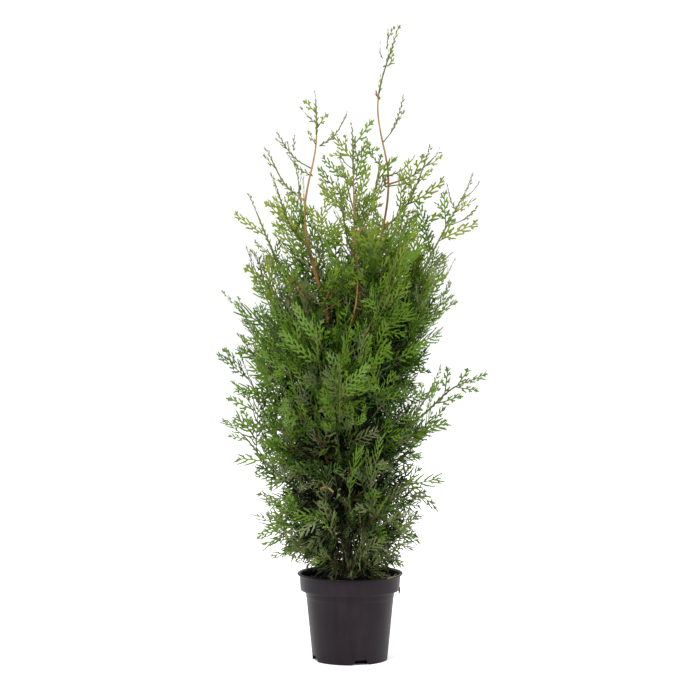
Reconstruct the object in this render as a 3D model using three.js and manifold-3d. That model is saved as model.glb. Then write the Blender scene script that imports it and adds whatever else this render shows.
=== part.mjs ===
// A young thuja in a round nursery pot. Millimetres, +Z up, the origin in the middle of the pot's underside.
// A leaning trunk forks into three leaders. Boughs climb outwards from it and end where they enter a mass of
// foliage. A mass is one stem with flat sprays on it, each spray a toothed blade, and it keeps to the space
// that is nearer to its own stem than to any other.
import * as THREE from "three";
import { mergeVertices } from "three/addons/utils/BufferGeometryUtils.js";
import Module from "manifold-3d";

const wasm = await Module();
wasm.setup();
const { Manifold, Mesh: SolidMesh } = wasm;

// ---- Driving dimensions ----

const CLEARANCE = 0.3; // between two solids that meet

const POT = {
  height: 157,
  lipRadius: 95,
  lipHeight: 3.5,
  lipBevel: 0.8,
  collarRadius: 91, // the wide band under the lip
  collarFoot: 126, // height of the band's lower edge
  collarDraft: 1.8,
  step: 1.5, // height of the slope from the wall out to the band
  wallTopRadius: 80.5,
  footRadius: 67.5,
  wall: 2,
  hubRadius: 50, // the middle of the floor lies on the ground
  channel: 9.5, // height of the drain channel between the hub and the wall
  sides: 32,
};

const DRAIN = {
  count: 4,
  firstTurn: -73, // degrees from +X, so that the first one faces the front
  baseWidth: 29,
  topWidth: 15,
  height: 8.5,
};

const SOIL = { edge: 143, crown: 147.5, crownRadius: 30 };

const TRUNK = {
  path: [[1, 0, -12], [-9, -2, 72], [-24, -4, 250], [-36, -5, 455]], // heights above the soil; it is cut flat there
  footRadius: 8,
  forkRadius: 5.4,
  flareRadius: 13,
  flareHeight: 14, // over which the root flare loses two thirds of its width
  flareLobes: 5,
  lobeDepth: 0.14,
  sides: 10,
  rings: 13,
  crowding: 1.5, // above 1, the lower rings stand closer together
};

// The crown's radius about the pot's axis at a few heights, and smooth between them.
const CROWN = [
  [165, 90],
  [225, 140],
  [300, 178],
  [430, 200],
  [570, 212],
  [780, 208],
  [860, 196],
  [945, 110],
  [1010, 20],
];

// A limb runs from its foot, at a height on the trunk, through its path to the tip of its last spray.
// bare is the share of the way that is limb; a stem of foliage takes over there. Each side shoot leaves at a
// share of the way, and ends that far from there, sideways (x, y) and upwards (z). lush says how closely set
// and how long the sprays are, from 0 to 1.
const LEADERS = [
  {
    name: "left_leader", foot: 602, radius: 4.6, bare: 0.74, lush: 0.5,
    path: [[-80, -45, 796], [-60, -40, 925], [-61, -36, 1018]],
    shoots: [
      { at: 0.2, to: [-40, 84, 215] },
      { at: 0.34, to: [-62, -96, 130] },
      { at: 0.54, to: [-70, 20, 95] },
    ],
  },
  {
    name: "centre_leader", foot: 548, radius: 4.2, bare: 0.7, lush: 0.9,
    path: [[16, -34, 640], [9, -36, 750], [4, -28, 962]],
    shoots: [
      { at: 0.24, to: [72, -104, 165] },
      { at: 0.42, to: [-36, -84, 165] },
      { at: 0.52, to: [48, 50, 150] },
    ],
  },
  {
    name: "tall_leader", foot: 470, radius: 4.6, bare: 0.74, lush: 0.3,
    path: [[58, 32, 770], [69, 30, 865], [50, 26, 1000], [87, 22, 1136]],
    shoots: [
      { at: 0.25, to: [90, 96, 215] },
      { at: 0.4, to: [-70, 76, 185] },
      { at: 0.46, to: [86, -52, 150] },
      { at: 0.58, to: [96, 24, 62] },
    ],
  },
];

// Boughs whose place shows: the long ones on the left, the right and the front.
const LONG_BOUGHS = [
  {
    name: "right_bough", foot: 378, radius: 4.2, bare: 0.42, lush: 0.8,
    path: [[73, -10, 590], [135, -18, 711], [187, -15, 807], [222, -12, 870]],
    shoots: [{ at: 0.3, to: [98, -64, 180] }],
  },
  {
    name: "left_bough", foot: 572, radius: 4, bare: 0.36, lush: 0.9,
    path: [[-74, -50, 645], [-128, -62, 721], [-163, -56, 800], [-178, -50, 838]],
    shoots: [{ at: 0.2, to: [-120, -20, 90] }],
  },
  {
    name: "front_bough", foot: 308, radius: 3.8, bare: 0.4, lush: 1,
    path: [[-46, -62, 395], [-8, -108, 467], [40, -140, 590]],
    shoots: [{ at: 0.3, to: [-70, -70, 180] }],
  },
  {
    name: "right_low_bough", foot: 296, radius: 3.6, bare: 0.3, lush: 1,
    path: [[62, 26, 385], [132, 36, 438], [190, 26, 490], [247, 12, 508]],
    shoots: [],
  },
  {
    name: "left_low_bough", foot: 214, radius: 3.6, bare: 0.3, lush: 1,
    path: [[-70, -22, 288], [-142, -18, 347], [-190, -10, 404], [-227, -6, 433]],
    shoots: [],
  },
];

// The other boughs go round the trunk by the golden angle, from the lowest up. So do the low shoots, whose
// stems of foliage leave the trunk itself.
const ROUND_BOUGHS = {
  name: "bough",
  count: 9,
  firstFoot: 262,
  lastFoot: 550,
  crowding: 1,
  firstTurn: 60, // degrees from +X
  firstRise: 170, // from the foot to the tip
  lastRise: 290,
  reach: 0.86, // share of the crown's radius
  bow: [[0.42, 0.24], [0.76, 0.6], [1, 1]], // shares of the way outwards and upwards
  radius: 3.4,
  bare: 0.2,
  lush: 1,
};

const LOW_SHOOTS = {
  name: "low_foliage",
  count: 10,
  firstFoot: 168,
  lastFoot: 410,
  crowding: 1.35, // above 1, the lower ones stand closer together
  firstTurn: 245,
  firstRise: 45,
  lastRise: 200,
  reach: 0.86,
  bow: [[0.5, 0.3], [1, 1]],
  radius: 2.6,
  bare: 0,
  lush: 1,
};

const GOLDEN_ANGLE = 137.5; // degrees
const FIRST_SEED = 101; // of the first mass's random numbers; each mass has its own

const LIMB = { sides: 5, rings: 5, tipRadius: 1.4 };
const SHOOT = { radius: 0.62, elbowOut: 0.5, elbowUp: 0.3 }; // shares of the leader's radius and of the way

const SPRAY = {
  stemSides: 3,
  stemRings: 4,
  stemEnd: 0.82, // share of the way where the stem's last spray takes over
  spacing: 22, // along the stem
  firstAt: 8, // from the stem's foot
  angle: 46, // degrees from the stem
  roll: 38, // degrees that each pair of sprays is turned on from the last
  longest: 118,
  shortest: 38,
  shareOfStem: 0.62, // a spray's length on a short stem
  spread: 0.15, // each angle and length strays by up to this share, more or less
  width: 0.4, // half width as a share of the length
  pairs: 2, // of teeth
  tipRoom: 0.8, // the tip's part of the length, counted in teeth
  arch: [0.34, 0.8], // the teeth's widths follow a sine between these shares of its half turn
  sweep: 0.3, // how far a tooth leans forwards, as a share of the length
  notch: 0.05, // half width between teeth, as a share of the length
  thickness: 2.2, // at the rib
  sunk: 0.3, // the root lies this near to the stem's middle, as a share of the stem's radius
  tipSunk: 3, // the last spray's root lies this deep in the stem's end
  lift: 0.12, // how far a spray's tip bends up, as a share of its length
  stray: 0.5, // radians between the least and the greatest stray turn about the stem
  twist: 0.9, // and about the spray's own rib
  footShape: 0.75, // the first spray's length as a share of the longest
  taper: 0.45, // how much shorter the last one is
  // A spray is tried at these shares of its length, turned this far aside, before it is skipped.
  tries: [1, 0.8, 0.64, 0.5].flatMap((share) => [0, 0.6, -0.6, 1.2, -1.2].map((aside) => [share, aside])),
  gap: 0.8, // from a spray to the edge of its space
  // It is felt at these shares of its rib and, at the height of each tooth, of that tooth's width.
  ribFeelers: [0.35, 0.6, 0.8, 1],
  toothFeelers: [-1, -0.55, 0.55, 1],
};

const COLOURS = {
  pot: 0x353235,
  soil: 0x1d1712,
  bark: 0x6d4a30,
  leader: 0x9a6c3c,
  foliage: 0x4f7a26,
};

// ---- Small helpers ----

const lerp = THREE.MathUtils.lerp;
const radians = THREE.MathUtils.degToRad;
const vector = ([x, y, z]) => new THREE.Vector3(x, y, z);

// A repeatable run of numbers from 0 to 1.
function seeded(seed) {
  let state = seed >>> 0;
  return () => {
    state = (state + 0x6d2b79f5) >>> 0;
    let t = state;
    t = Math.imul(t ^ (t >>> 15), t | 1);
    t ^= t + Math.imul(t ^ (t >>> 7), t | 61);
    return ((t ^ (t >>> 14)) >>> 0) / 4294967296;
  };
}

// A closed geometry as a solid that can be joined and cut.
function solidOf(geometry) {
  const bare = new THREE.BufferGeometry();
  bare.setAttribute("position", geometry.getAttribute("position"));
  bare.setIndex(geometry.index);
  const merged = mergeVertices(bare, 1e-3);
  return new Manifold(
    new SolidMesh({
      numProp: 3,
      vertProperties: merged.attributes.position.array,
      triVerts: new Uint32Array(merged.index.array),
    }),
  );
}

function geometryOf(solid) {
  const { numProp, vertProperties, triVerts } = solid.getMesh();
  const places = new Float32Array((vertProperties.length / numProp) * 3);
  for (let i = 0; i < places.length / 3; i++)
    places.set(vertProperties.subarray(i * numProp, i * numProp + 3), i * 3);
  const geometry = new THREE.BufferGeometry();
  geometry.setAttribute("position", new THREE.BufferAttribute(places, 3));
  geometry.setIndex(new THREE.BufferAttribute(triVerts, 1));
  return geometry;
}

// A profile of [radius, height] points turned about Z.
function turned(profile, sides) {
  const points = profile.map(([radius, height]) => new THREE.Vector2(radius, height));
  return new THREE.LatheGeometry(points, sides).rotateX(Math.PI / 2);
}

// The point and three directions at each of some shares of a curve, carried along it without twisting.
function framesAlong(curve, shares) {
  let normal = new THREE.Vector3(0, -1, 0);
  return shares.map((share) => {
    const tangent = curve.getTangentAt(share);
    normal = normal.clone().addScaledVector(tangent, -normal.dot(tangent)).normalize();
    const across = normal.clone().cross(tangent);
    return { centre: curve.getPointAt(share), tangent, normal, across };
  });
}

// A cylinder's rings laid along a curve from share to share, radiusAt(share, turn) wide. Above 1, crowding
// sets the first rings closer together.
function tube(curve, from, to, radiusAt, sides, rings, crowding = 1) {
  const shares = Array.from({ length: rings + 1 }, (_, i) => lerp(from, to, (i / rings) ** crowding));
  const frames = framesAlong(curve, shares);
  const geometry = new THREE.CylinderGeometry(1, 1, 1, sides, rings);
  const place = geometry.getAttribute("position");
  for (let i = 0; i < place.count; i++) {
    const ring = Math.round((place.getY(i) + 0.5) * rings);
    const { centre, normal, across } = frames[ring];
    const x = place.getX(i);
    const z = place.getZ(i);
    const radius = radiusAt(shares[ring], Math.atan2(z, x));
    const at = centre.clone().addScaledVector(normal, x * radius).addScaledVector(across, z * radius);
    place.setXYZ(i, at.x, at.y, at.z);
  }
  return geometry;
}

// Sampled points of a curve between two shares, each with the radius there.
function samples(curve, from, to, radiusAt, count) {
  return Array.from({ length: count + 1 }, (_, i) => {
    const share = lerp(from, to, i / count);
    return { point: curve.getPointAt(share), radius: radiusAt(share) };
  });
}

// ---- Pot and soil ----

// The pot's inner surface from the middle of the floor to the top of the wall, and a gap inside it.
function innerProfile(gap) {
  const p = POT;
  const profile = [
    [0, p.wall],
    [p.hubRadius - p.wall, p.wall],
    [p.hubRadius, p.channel + p.wall],
    [p.footRadius + 1 - p.wall, p.channel + p.wall],
    [p.wallTopRadius - p.wall, p.collarFoot + p.wall - p.step],
    [p.collarRadius - p.collarDraft - p.wall, p.collarFoot + p.wall],
  ];
  return profile.map(([radius, height]) => [Math.max(0, radius - gap), height + gap]);
}

function potSolid() {
  const p = POT;
  const underLip = p.height - p.lipHeight;
  const profile = [
    [0, 0],
    [p.hubRadius, 0],
    [p.hubRadius + p.wall, p.channel],
    [p.footRadius - p.wall, p.channel],
    [p.footRadius - p.wall, 0],
    [p.footRadius, 0],
    [p.wallTopRadius, p.collarFoot - p.step],
    [p.collarRadius - p.collarDraft, p.collarFoot],
    [p.collarRadius, underLip - p.lipBevel],
    [p.lipRadius, underLip],
    [p.lipRadius, p.height - p.lipBevel],
    [p.lipRadius - p.lipBevel, p.height],
    [p.collarRadius - p.wall, p.height],
    ...innerProfile(0).reverse(),
  ];
  return drains().reduce((pot, drain) => pot.subtract(drain), solidOf(turned(profile, p.sides)));
}

// Wedges that cut the drain notches through the pot's foot, into the channel.
function drains() {
  const outline = new THREE.Shape([
    new THREE.Vector2(-DRAIN.baseWidth / 2, -1),
    new THREE.Vector2(DRAIN.baseWidth / 2, -1),
    new THREE.Vector2(DRAIN.topWidth / 2, DRAIN.height),
    new THREE.Vector2(-DRAIN.topWidth / 2, DRAIN.height),
  ]);
  const depth = POT.wallTopRadius - POT.hubRadius;
  return Array.from({ length: DRAIN.count }, (_, i) => {
    const wedge = new THREE.ExtrudeGeometry(outline, { depth, bevelEnabled: false });
    wedge.rotateX(Math.PI / 2).translate(0, -POT.hubRadius - POT.wall, 0);
    wedge.rotateZ(radians(DRAIN.firstTurn + 90 + (i * 360) / DRAIN.count));
    return solidOf(wedge);
  });
}

function soilSolid() {
  const profile = [
    ...innerProfile(CLEARANCE),
    [POT.collarRadius - POT.wall - 2 * CLEARANCE - POT.lipBevel, SOIL.edge],
    [SOIL.crownRadius, SOIL.crown],
    [0, SOIL.crown],
  ];
  return solidOf(turned(profile, POT.sides));
}

// ---- Trunk, leaders and boughs ----

const GROUND = SOIL.crown + CLEARANCE;
const trunkCurve = new THREE.CatmullRomCurve3(
  TRUNK.path.map(([x, y, z]) => new THREE.Vector3(x, y, z + GROUND)),
);

function trunkRadius(share, turn = 0) {
  const height = trunkCurve.getPointAt(share).z - GROUND;
  const flare = Math.exp(-Math.max(0, height) / TRUNK.flareHeight);
  const lobes = 1 + TRUNK.lobeDepth * flare * Math.cos(TRUNK.flareLobes * turn);
  const plain = lerp(TRUNK.footRadius, TRUNK.forkRadius, share);
  return (plain + (TRUNK.flareRadius - TRUNK.footRadius) * flare) * lobes;
}

// The trunk, cut flat where it leaves the soil. extra makes it that much thicker.
function trunkSolid(extra = 0) {
  const radiusAt = (share, turn) => trunkRadius(share, turn) + extra;
  const whole = tube(trunkCurve, 0, 1, radiusAt, TRUNK.sides, TRUNK.rings, TRUNK.crowding);
  return solidOf(whole).trimByPlane([0, 0, 1], GROUND);
}

// The trunk's middle at a height.
function trunkAt(height) {
  let low = 0;
  let high = 1;
  for (let i = 0; i < 30; i++) {
    const middle = (low + high) / 2;
    if (trunkCurve.getPointAt(middle).z < height) low = middle;
    else high = middle;
  }
  return trunkCurve.getPointAt(low);
}

function crownRadius(height) {
  const row = CROWN.findIndex(([top]) => top >= height);
  if (row <= 0) return row === 0 ? CROWN[0][1] : 0;
  const [lowHeight, lowRadius] = CROWN[row - 1];
  const [topHeight, topRadius] = CROWN[row];
  return lerp(lowRadius, topRadius, THREE.MathUtils.smoothstep(height, lowHeight, topHeight));
}

// Limbs that go round the trunk. Each leaves its foot outwards and turns upwards, to the edge of the crown.
function roundLimbs(rule) {
  return Array.from({ length: rule.count }, (_, i) => {
    const share = i / (rule.count - 1);
    const turn = radians(rule.firstTurn + i * GOLDEN_ANGLE);
    const foot = lerp(rule.firstFoot, rule.lastFoot, share ** rule.crowding);
    const rise = lerp(rule.firstRise, rule.lastRise, share);
    const start = trunkAt(foot);
    const reach = crownRadius(foot + rise) * rule.reach;
    const path = rule.bow.map(([outwards, upwards]) => [
      lerp(start.x, Math.cos(turn) * reach, outwards),
      lerp(start.y, Math.sin(turn) * reach, outwards),
      foot + rise * upwards,
    ]);
    return { ...rule, name: `${rule.name}_${i + 1}`, foot, path, shoots: [] };
  });
}

// A limb's curve and radius, and the side shoots that leave it.
function grow(limb) {
  const foot = trunkAt(limb.foot);
  const curve = new THREE.CatmullRomCurve3([foot, ...limb.path.map(vector)]);
  const radiusAt = (share) => lerp(limb.radius, LIMB.tipRadius, Math.pow(share, 0.8));
  const shoots = limb.shoots.map(({ at, to }, i) => {
    const start = curve.getPointAt(at);
    const end = start.clone().add(vector(to));
    const side = new THREE.Vector3(to[0], to[1], 0);
    const elbow = start.clone().addScaledVector(side, SHOOT.elbowOut);
    elbow.z += to[2] * SHOOT.elbowUp;
    return {
      name: `${limb.name}_shoot_${i + 1}`,
      curve: new THREE.CatmullRomCurve3([start, elbow, end]),
      radiusAt: (share) => lerp(radiusAt(at) * SHOOT.radius, LIMB.tipRadius, share),
      lush: 1,
    };
  });
  return { ...limb, curve, radiusAt, shoots };
}

const limbs = [...LEADERS, ...LONG_BOUGHS, ...roundLimbs(ROUND_BOUGHS)].map(grow);
const lowShoots = roundLimbs(LOW_SHOOTS).map(grow);

function limbSolid(limb, extra = 0) {
  const radiusAt = (share) => limb.radiusAt(share) + extra;
  return solidOf(tube(limb.curve, 0, limb.bare, radiusAt, LIMB.sides, LIMB.rings));
}

// ---- Masses of foliage ----

// A mass's stem goes on from its bough's tip, or leaves a leader's side or the trunk.
const masses = [
  ...limbs.flatMap((limb) => [
    {
      ...limb, name: `${limb.name}_foliage`, from: limb.bare + CLEARANCE / limb.curve.getLength(),
      firstAt: SPRAY.firstAt, carrier: null,
    },
    ...limb.shoots.map((shoot) => ({
      ...shoot, name: shoot.name.replace("shoot", "foliage"), from: 0,
      firstAt: SPRAY.firstAt + 2 * limb.radius, carrier: () => limbSolid(limb, CLEARANCE),
    })),
  ]),
  ...lowShoots.map((shoot) => ({
    ...shoot, from: 0, firstAt: SPRAY.firstAt + 2 * TRUNK.footRadius, carrier: () => trunkSolid(CLEARANCE),
  })),
];

for (const mass of masses) {
  mass.to = lerp(mass.from, 1, SPRAY.stemEnd);
  mass.length = mass.curve.getLength() * (mass.to - mass.from);
  mass.line = samples(mass.curve, mass.from, mass.to, mass.radiusAt, SPRAY.stemRings);
}

const limbLines = [
  samples(trunkCurve, 0, 1, (share) => trunkRadius(share), 30),
  ...limbs.map((limb) => samples(limb.curve, 0, limb.bare, limb.radiusAt, 16)),
];

// The distance from a point to a sampled line, less the line's radius if it counts.
function distanceTo(line, point, withRadius) {
  let least = Infinity;
  for (let i = 1; i < line.length; i++) {
    const a = line[i - 1].point;
    const b = line[i].point;
    const share = THREE.MathUtils.clamp(
      point.clone().sub(a).dot(b.clone().sub(a)) / a.distanceToSquared(b), 0, 1,
    );
    const far = point.distanceTo(a.clone().lerp(b, share)) - (withRadius ? line[i].radius : 0);
    least = Math.min(least, far);
  }
  return least;
}

function inOwnSpace(mass, point) {
  const own = distanceTo(mass.line, point, false);
  const free = masses.every(
    (other) => other === mass || distanceTo(other.line, point, false) > own + 2 * SPRAY.gap,
  );
  return free && limbLines.every((line) => distanceTo(line, point, true) > SPRAY.thickness);
}

// Where a blade's rib, teeth and notches lie, in its own plane: u along it, w across.
function bladeOutline(length) {
  const { pairs, tipRoom, arch, sweep, width, notch } = SPRAY;
  return Array.from({ length: pairs }, (_, i) => {
    const middle = (i + 0.5) / (pairs + tipRoom);
    const end = (i + 1) / (pairs + tipRoom);
    const size = Math.sin(Math.PI * lerp(...arch, (i + 0.5) / pairs));
    return {
      tooth: { u: length * (middle + sweep * size), w: length * width * size },
      notch: { u: length * end, w: length * notch },
    };
  });
}

// A spray: a flat blade with pairs of teeth, thickest along its rib, bending up towards its tip.
function blade(spray) {
  const { root, along, across, length } = spray;
  const up = across.clone().cross(along);
  const teeth = bladeOutline(length);
  const corners = [];
  const add = (u, w, thick) => {
    const bend = SPRAY.lift * length * (u / length) ** 2;
    corners.push(
      root.clone().addScaledVector(along, u).addScaledVector(across, w).addScaledVector(up, bend + thick),
    );
    return corners.length - 1;
  };
  const half = SPRAY.thickness / 2;
  const ribAt = (u) => [half, -half].map((thick) => add(u, 0, thick));
  const tip = add(length, 0, 0);
  const faces = [];
  const ribs = [0, ...teeth.map(({ notch }) => notch.u)].map(ribAt);
  for (const side of [1, -1]) {
    const edge = teeth.map(({ tooth, notch }) => ({
      tooth: add(tooth.u, side * tooth.w, 0), notch: add(notch.u, side * notch.w, 0),
    }));
    for (const face of [0, 1]) {
      const flip = (side === 1) === (face === 0);
      const push = (a, b, c) => faces.push(...(flip ? [a, b, c] : [a, c, b]));
      edge.forEach(({ tooth, notch }, i) => {
        const [last, rib] = [ribs[i][face], ribs[i + 1][face]];
        if (i) push(last, edge[i - 1].notch, tooth);
        push(last, tooth, rib);
        push(rib, tooth, notch);
      });
      push(ribs.at(-1)[face], edge.at(-1).notch, tip);
    }
    const [top, bottom] = side === 1 ? ribs[0] : ribs[0].toReversed();
    faces.push(bottom, edge[0].tooth, top);
  }
  const geometry = new THREE.BufferGeometry().setFromPoints(corners);
  geometry.setIndex(faces);
  return geometry;
}

// The points of a spray that have to lie in its mass's space.
function feelers({ root, along, across, length }) {
  const up = across.clone().cross(along);
  const at = (u, w) =>
    root.clone().addScaledVector(along, u).addScaledVector(across, w)
      .addScaledVector(up, SPRAY.lift * length * (u / length) ** 2);
  const rib = SPRAY.ribFeelers.map((share) => at(share * length, 0));
  const edge = bladeOutline(length).flatMap(({ tooth }) =>
    SPRAY.toothFeelers.map((share) => at(tooth.u, share * tooth.w)),
  );
  return [...rib, ...edge];
}

// The middle of a mass's stem, which is straight from ring to ring.
function onStem(mass, share) {
  const ring = ((share - mass.from) / (mass.to - mass.from)) * SPRAY.stemRings;
  const low = Math.min(SPRAY.stemRings - 1, Math.max(0, Math.floor(ring)));
  return mass.line[low].point.clone().lerp(mass.line[low + 1].point, ring - low);
}

// The sprays of a mass: in pairs along the stem, each pair turned on from the last, and one at the tip.
// Each is a function of how much it is shortened and turned aside.
function spraysOf(mass, seed) {
  const random = seeded(seed);
  const room = mass.length - mass.firstAt;
  const count = Math.max(3, Math.floor(room / lerp(SPRAY.spacing * 2, SPRAY.spacing, mass.lush)));
  const shares = Array.from({ length: count }, (_, i) =>
    lerp(mass.from, mass.to, (mass.firstAt + (room * (i + 0.3)) / count) / mass.length),
  );
  const frames = framesAlong(mass.curve, [...shares, mass.to]);
  const longest = Math.min(SPRAY.longest, Math.max(SPRAY.shortest, mass.length * SPRAY.shareOfStem));
  const startTurn = random() * 2 * Math.PI;
  const strayed = () => 1 + (2 * random() - 1) * SPRAY.spread;
  const laterals = shares.map((share, i) => {
    const { tangent, normal, across } = frames[i];
    const pairTurn = (i % 2) * Math.PI + Math.floor(i / 2) * radians(SPRAY.roll) + (random() - 0.5) * SPRAY.stray;
    const angle = radians(SPRAY.angle) * strayed();
    const twist = (random() - 0.5) * SPRAY.twist;
    const shape = Math.min(1, SPRAY.footShape + (2 * i) / count) * (1 - SPRAY.taper * (i / count) ** 2);
    const length = longest * lerp(0.5, 1, mass.lush) * shape * strayed();
    return (shorten, aside) => {
      const turn = startTurn + pairTurn + aside;
      const outwards = normal.clone().multiplyScalar(Math.cos(turn)).addScaledVector(across, Math.sin(turn));
      const along = tangent.clone().multiplyScalar(Math.cos(angle)).addScaledVector(outwards, Math.sin(angle));
      const side = outwards.clone().multiplyScalar(Math.cos(angle)).addScaledVector(tangent, -Math.sin(angle));
      const flat = outwards.clone().cross(tangent);
      const root = onStem(mass, share).addScaledVector(outwards, SPRAY.sunk * mass.radiusAt(share));
      const width = side.multiplyScalar(Math.cos(twist)).addScaledVector(flat, Math.sin(twist));
      return { root, along, across: width, length: length * shorten };
    };
  });
  const { tangent, normal } = frames[count];
  const root = onStem(mass, mass.to).addScaledVector(tangent, -SPRAY.tipSunk);
  const tipLength = root.distanceTo(mass.curve.getPointAt(1));
  return [...laterals, () => ({ root, along: tangent, across: normal, length: tipLength, tip: true })];
}

// Whether two solids overlap. Their boxes are compared first, because most of them lie far apart.
function meet(one, other) {
  const [a, b] = [one.boundingBox(), other.boundingBox()];
  const near = [0, 1, 2].every((axis) => a.min[axis] < b.max[axis] && b.min[axis] < a.max[axis]);
  return near && !one.intersect(other).isEmpty();
}

// A mass as one solid. A spray that would leave the mass's space, or cross an earlier one or a solid that is
// there already, is turned aside or made shorter, and left out if that doesn't help.
function massSolid(mass, seed, others) {
  let stem = solidOf(
    tube(mass.curve, mass.from, mass.to, mass.radiusAt, SPRAY.stemSides, SPRAY.stemRings),
  );
  if (mass.carrier) stem = stem.subtract(mass.carrier());
  let placed = null;
  for (const sprayAt of spraysOf(mass, seed)) {
    for (const [shorten, aside] of SPRAY.tries) {
      const spray = sprayAt(shorten, aside);
      if (!spray.tip && !feelers(spray).every((point) => inOwnSpace(mass, point))) continue;
      const solid = solidOf(blade(spray));
      if ([...others, placed].some((other) => other && meet(other, solid))) continue;
      placed = placed ? placed.add(solid) : solid;
      break;
    }
  }
  const bodies = stem.add(placed).decompose();
  return bodies.reduce((most, body) => (body.volume() > most.volume() ? body : most));
}

// ---- The assembly ----

const finish = (color, roughness) => new THREE.MeshStandardMaterial({ color, roughness, metalness: 0 });
const MATERIALS = {
  pot: finish(COLOURS.pot, 0.45),
  soil: finish(COLOURS.soil, 0.95),
  bark: finish(COLOURS.bark, 0.85),
  leader: finish(COLOURS.leader, 0.7),
  foliage: finish(COLOURS.foliage, 0.6),
};

const plant = new THREE.Group();
plant.name = "potted_thuja";

function addNode(name, solid, material) {
  const mesh = new THREE.Mesh(geometryOf(solid), material);
  mesh.name = name;
  plant.add(mesh);
}

addNode("pot", potSolid(), MATERIALS.pot);
addNode("soil", soilSolid(), MATERIALS.soil);
addNode("trunk", trunkSolid(), MATERIALS.bark);
const solids = [soilSolid(), trunkSolid()];
const trunkSides = trunkSolid(CLEARANCE);
const trunkCutter = trunkSides.add(trunkSides.translate([0, 0, CLEARANCE]));
for (const limb of limbs) {
  const solid = limbSolid(limb).subtract(trunkCutter);
  solids.push(solid);
  addNode(limb.name, solid, MATERIALS.leader);
}
masses.forEach((mass, i) => {
  const solid = massSolid(mass, FIRST_SEED + i, solids);
  solids.push(solid);
  addNode(mass.name, solid, MATERIALS.foliage);
});

export default plant;
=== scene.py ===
import math

import bpy
import numpy as np
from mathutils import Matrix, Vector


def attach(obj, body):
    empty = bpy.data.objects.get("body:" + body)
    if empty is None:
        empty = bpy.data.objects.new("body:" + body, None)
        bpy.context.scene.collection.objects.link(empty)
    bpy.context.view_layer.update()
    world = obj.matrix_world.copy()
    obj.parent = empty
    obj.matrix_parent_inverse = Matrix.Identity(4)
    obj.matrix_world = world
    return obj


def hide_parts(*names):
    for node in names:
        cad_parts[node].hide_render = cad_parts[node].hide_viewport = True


# A young thuja in a round nursery pot. The solids are the frame. Here each mass of foliage becomes stems,
# twigs and flat fronds of scale leaves that grow by the same rule, the wood gets its bark's relief and the
# pot its moulded edges.
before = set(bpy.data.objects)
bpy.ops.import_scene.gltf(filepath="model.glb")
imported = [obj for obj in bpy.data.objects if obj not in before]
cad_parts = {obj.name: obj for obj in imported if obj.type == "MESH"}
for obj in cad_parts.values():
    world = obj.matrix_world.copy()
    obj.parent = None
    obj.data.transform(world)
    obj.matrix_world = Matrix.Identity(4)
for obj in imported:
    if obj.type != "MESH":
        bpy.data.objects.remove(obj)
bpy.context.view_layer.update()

# ---- Driving dimensions, in millimetres, as the solids have them ----

CLEARANCE = 0.3

POT = dict(height=157, collar_radius=91, collar_draft=1.8, foot_radius=67.5, wall=2, channel=9.5)
# The drain notches round the foot. Above fade the wall's rings no longer give way to them.
DRAIN = dict(count=4, first_turn=-73, base_width=33, top_width=19, height=8.8, fade=36)
SOIL = dict(edge=143, crown=147.5, crown_radius=30)
SOIL_RADIUS = POT["collar_radius"] - POT["wall"] - 1.2
GROUND = SOIL["crown"] + CLEARANCE

TRUNK = dict(
    path=[[1, 0, -12], [-9, -2, 72], [-24, -4, 250], [-36, -5, 455]],
    foot_radius=8, fork_radius=5.4, flare_radius=13, flare_height=14, flare_lobes=5, lobe_depth=0.14,
)
CROWN = np.array([
    [165, 90], [225, 140], [300, 178], [430, 200], [570, 212], [780, 208], [860, 196], [945, 110],
    [1010, 20],
], float)

# name, foot, radius, bare share, lushness, path, side shoots as (share, way to the tip)
LEADERS = [
    ("left_leader", 602, 4.6, 0.74, 0.5, [[-80, -45, 796], [-60, -40, 925], [-61, -36, 1018]],
     [(0.2, [-40, 84, 215]), (0.34, [-62, -96, 130]), (0.54, [-70, 20, 95])]),
    ("centre_leader", 548, 4.2, 0.7, 0.9, [[16, -34, 640], [9, -36, 750], [4, -28, 962]],
     [(0.24, [72, -104, 165]), (0.42, [-36, -84, 165]), (0.52, [48, 50, 150])]),
    ("tall_leader", 470, 4.6, 0.74, 0.3, [[58, 32, 770], [69, 30, 865], [50, 26, 1000], [87, 22, 1136]],
     [(0.25, [90, 96, 215]), (0.4, [-70, 76, 185]), (0.46, [86, -52, 150]), (0.58, [96, 24, 62])]),
]
LONG_BOUGHS = [
    ("right_bough", 378, 4.2, 0.42, 0.8,
     [[73, -10, 590], [135, -18, 711], [187, -15, 807], [222, -12, 870]], [(0.3, [98, -64, 180])]),
    ("left_bough", 572, 4, 0.36, 0.9,
     [[-74, -50, 645], [-128, -62, 721], [-163, -56, 800], [-178, -50, 838]], [(0.2, [-120, -20, 90])]),
    ("front_bough", 308, 3.8, 0.4, 1,
     [[-46, -62, 395], [-8, -108, 467], [40, -140, 590]], [(0.3, [-70, -70, 180])]),
    ("right_low_bough", 296, 3.6, 0.3, 1,
     [[62, 26, 385], [132, 36, 438], [190, 26, 490], [247, 12, 508]], []),
    ("left_low_bough", 214, 3.6, 0.3, 1,
     [[-70, -22, 288], [-142, -18, 347], [-190, -10, 404], [-227, -6, 433]], []),
]
ROUND_BOUGHS = dict(
    name="bough", count=9, feet=(262, 550), crowding=1, first_turn=60, rises=(170, 290), reach=0.86,
    bow=[[0.42, 0.24], [0.76, 0.6], [1, 1]], radius=3.4, bare=0.2, lush=1,
)
LOW_SHOOTS = dict(
    name="low_foliage", count=10, feet=(168, 410), crowding=1.35, first_turn=245, rises=(45, 200),
    reach=0.86, bow=[[0.5, 0.3], [1, 1]], radius=2.6, bare=0, lush=1,
)
GOLDEN_ANGLE = 137.5
FIRST_SEED = 101
TIP_RADIUS = 1.4
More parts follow.
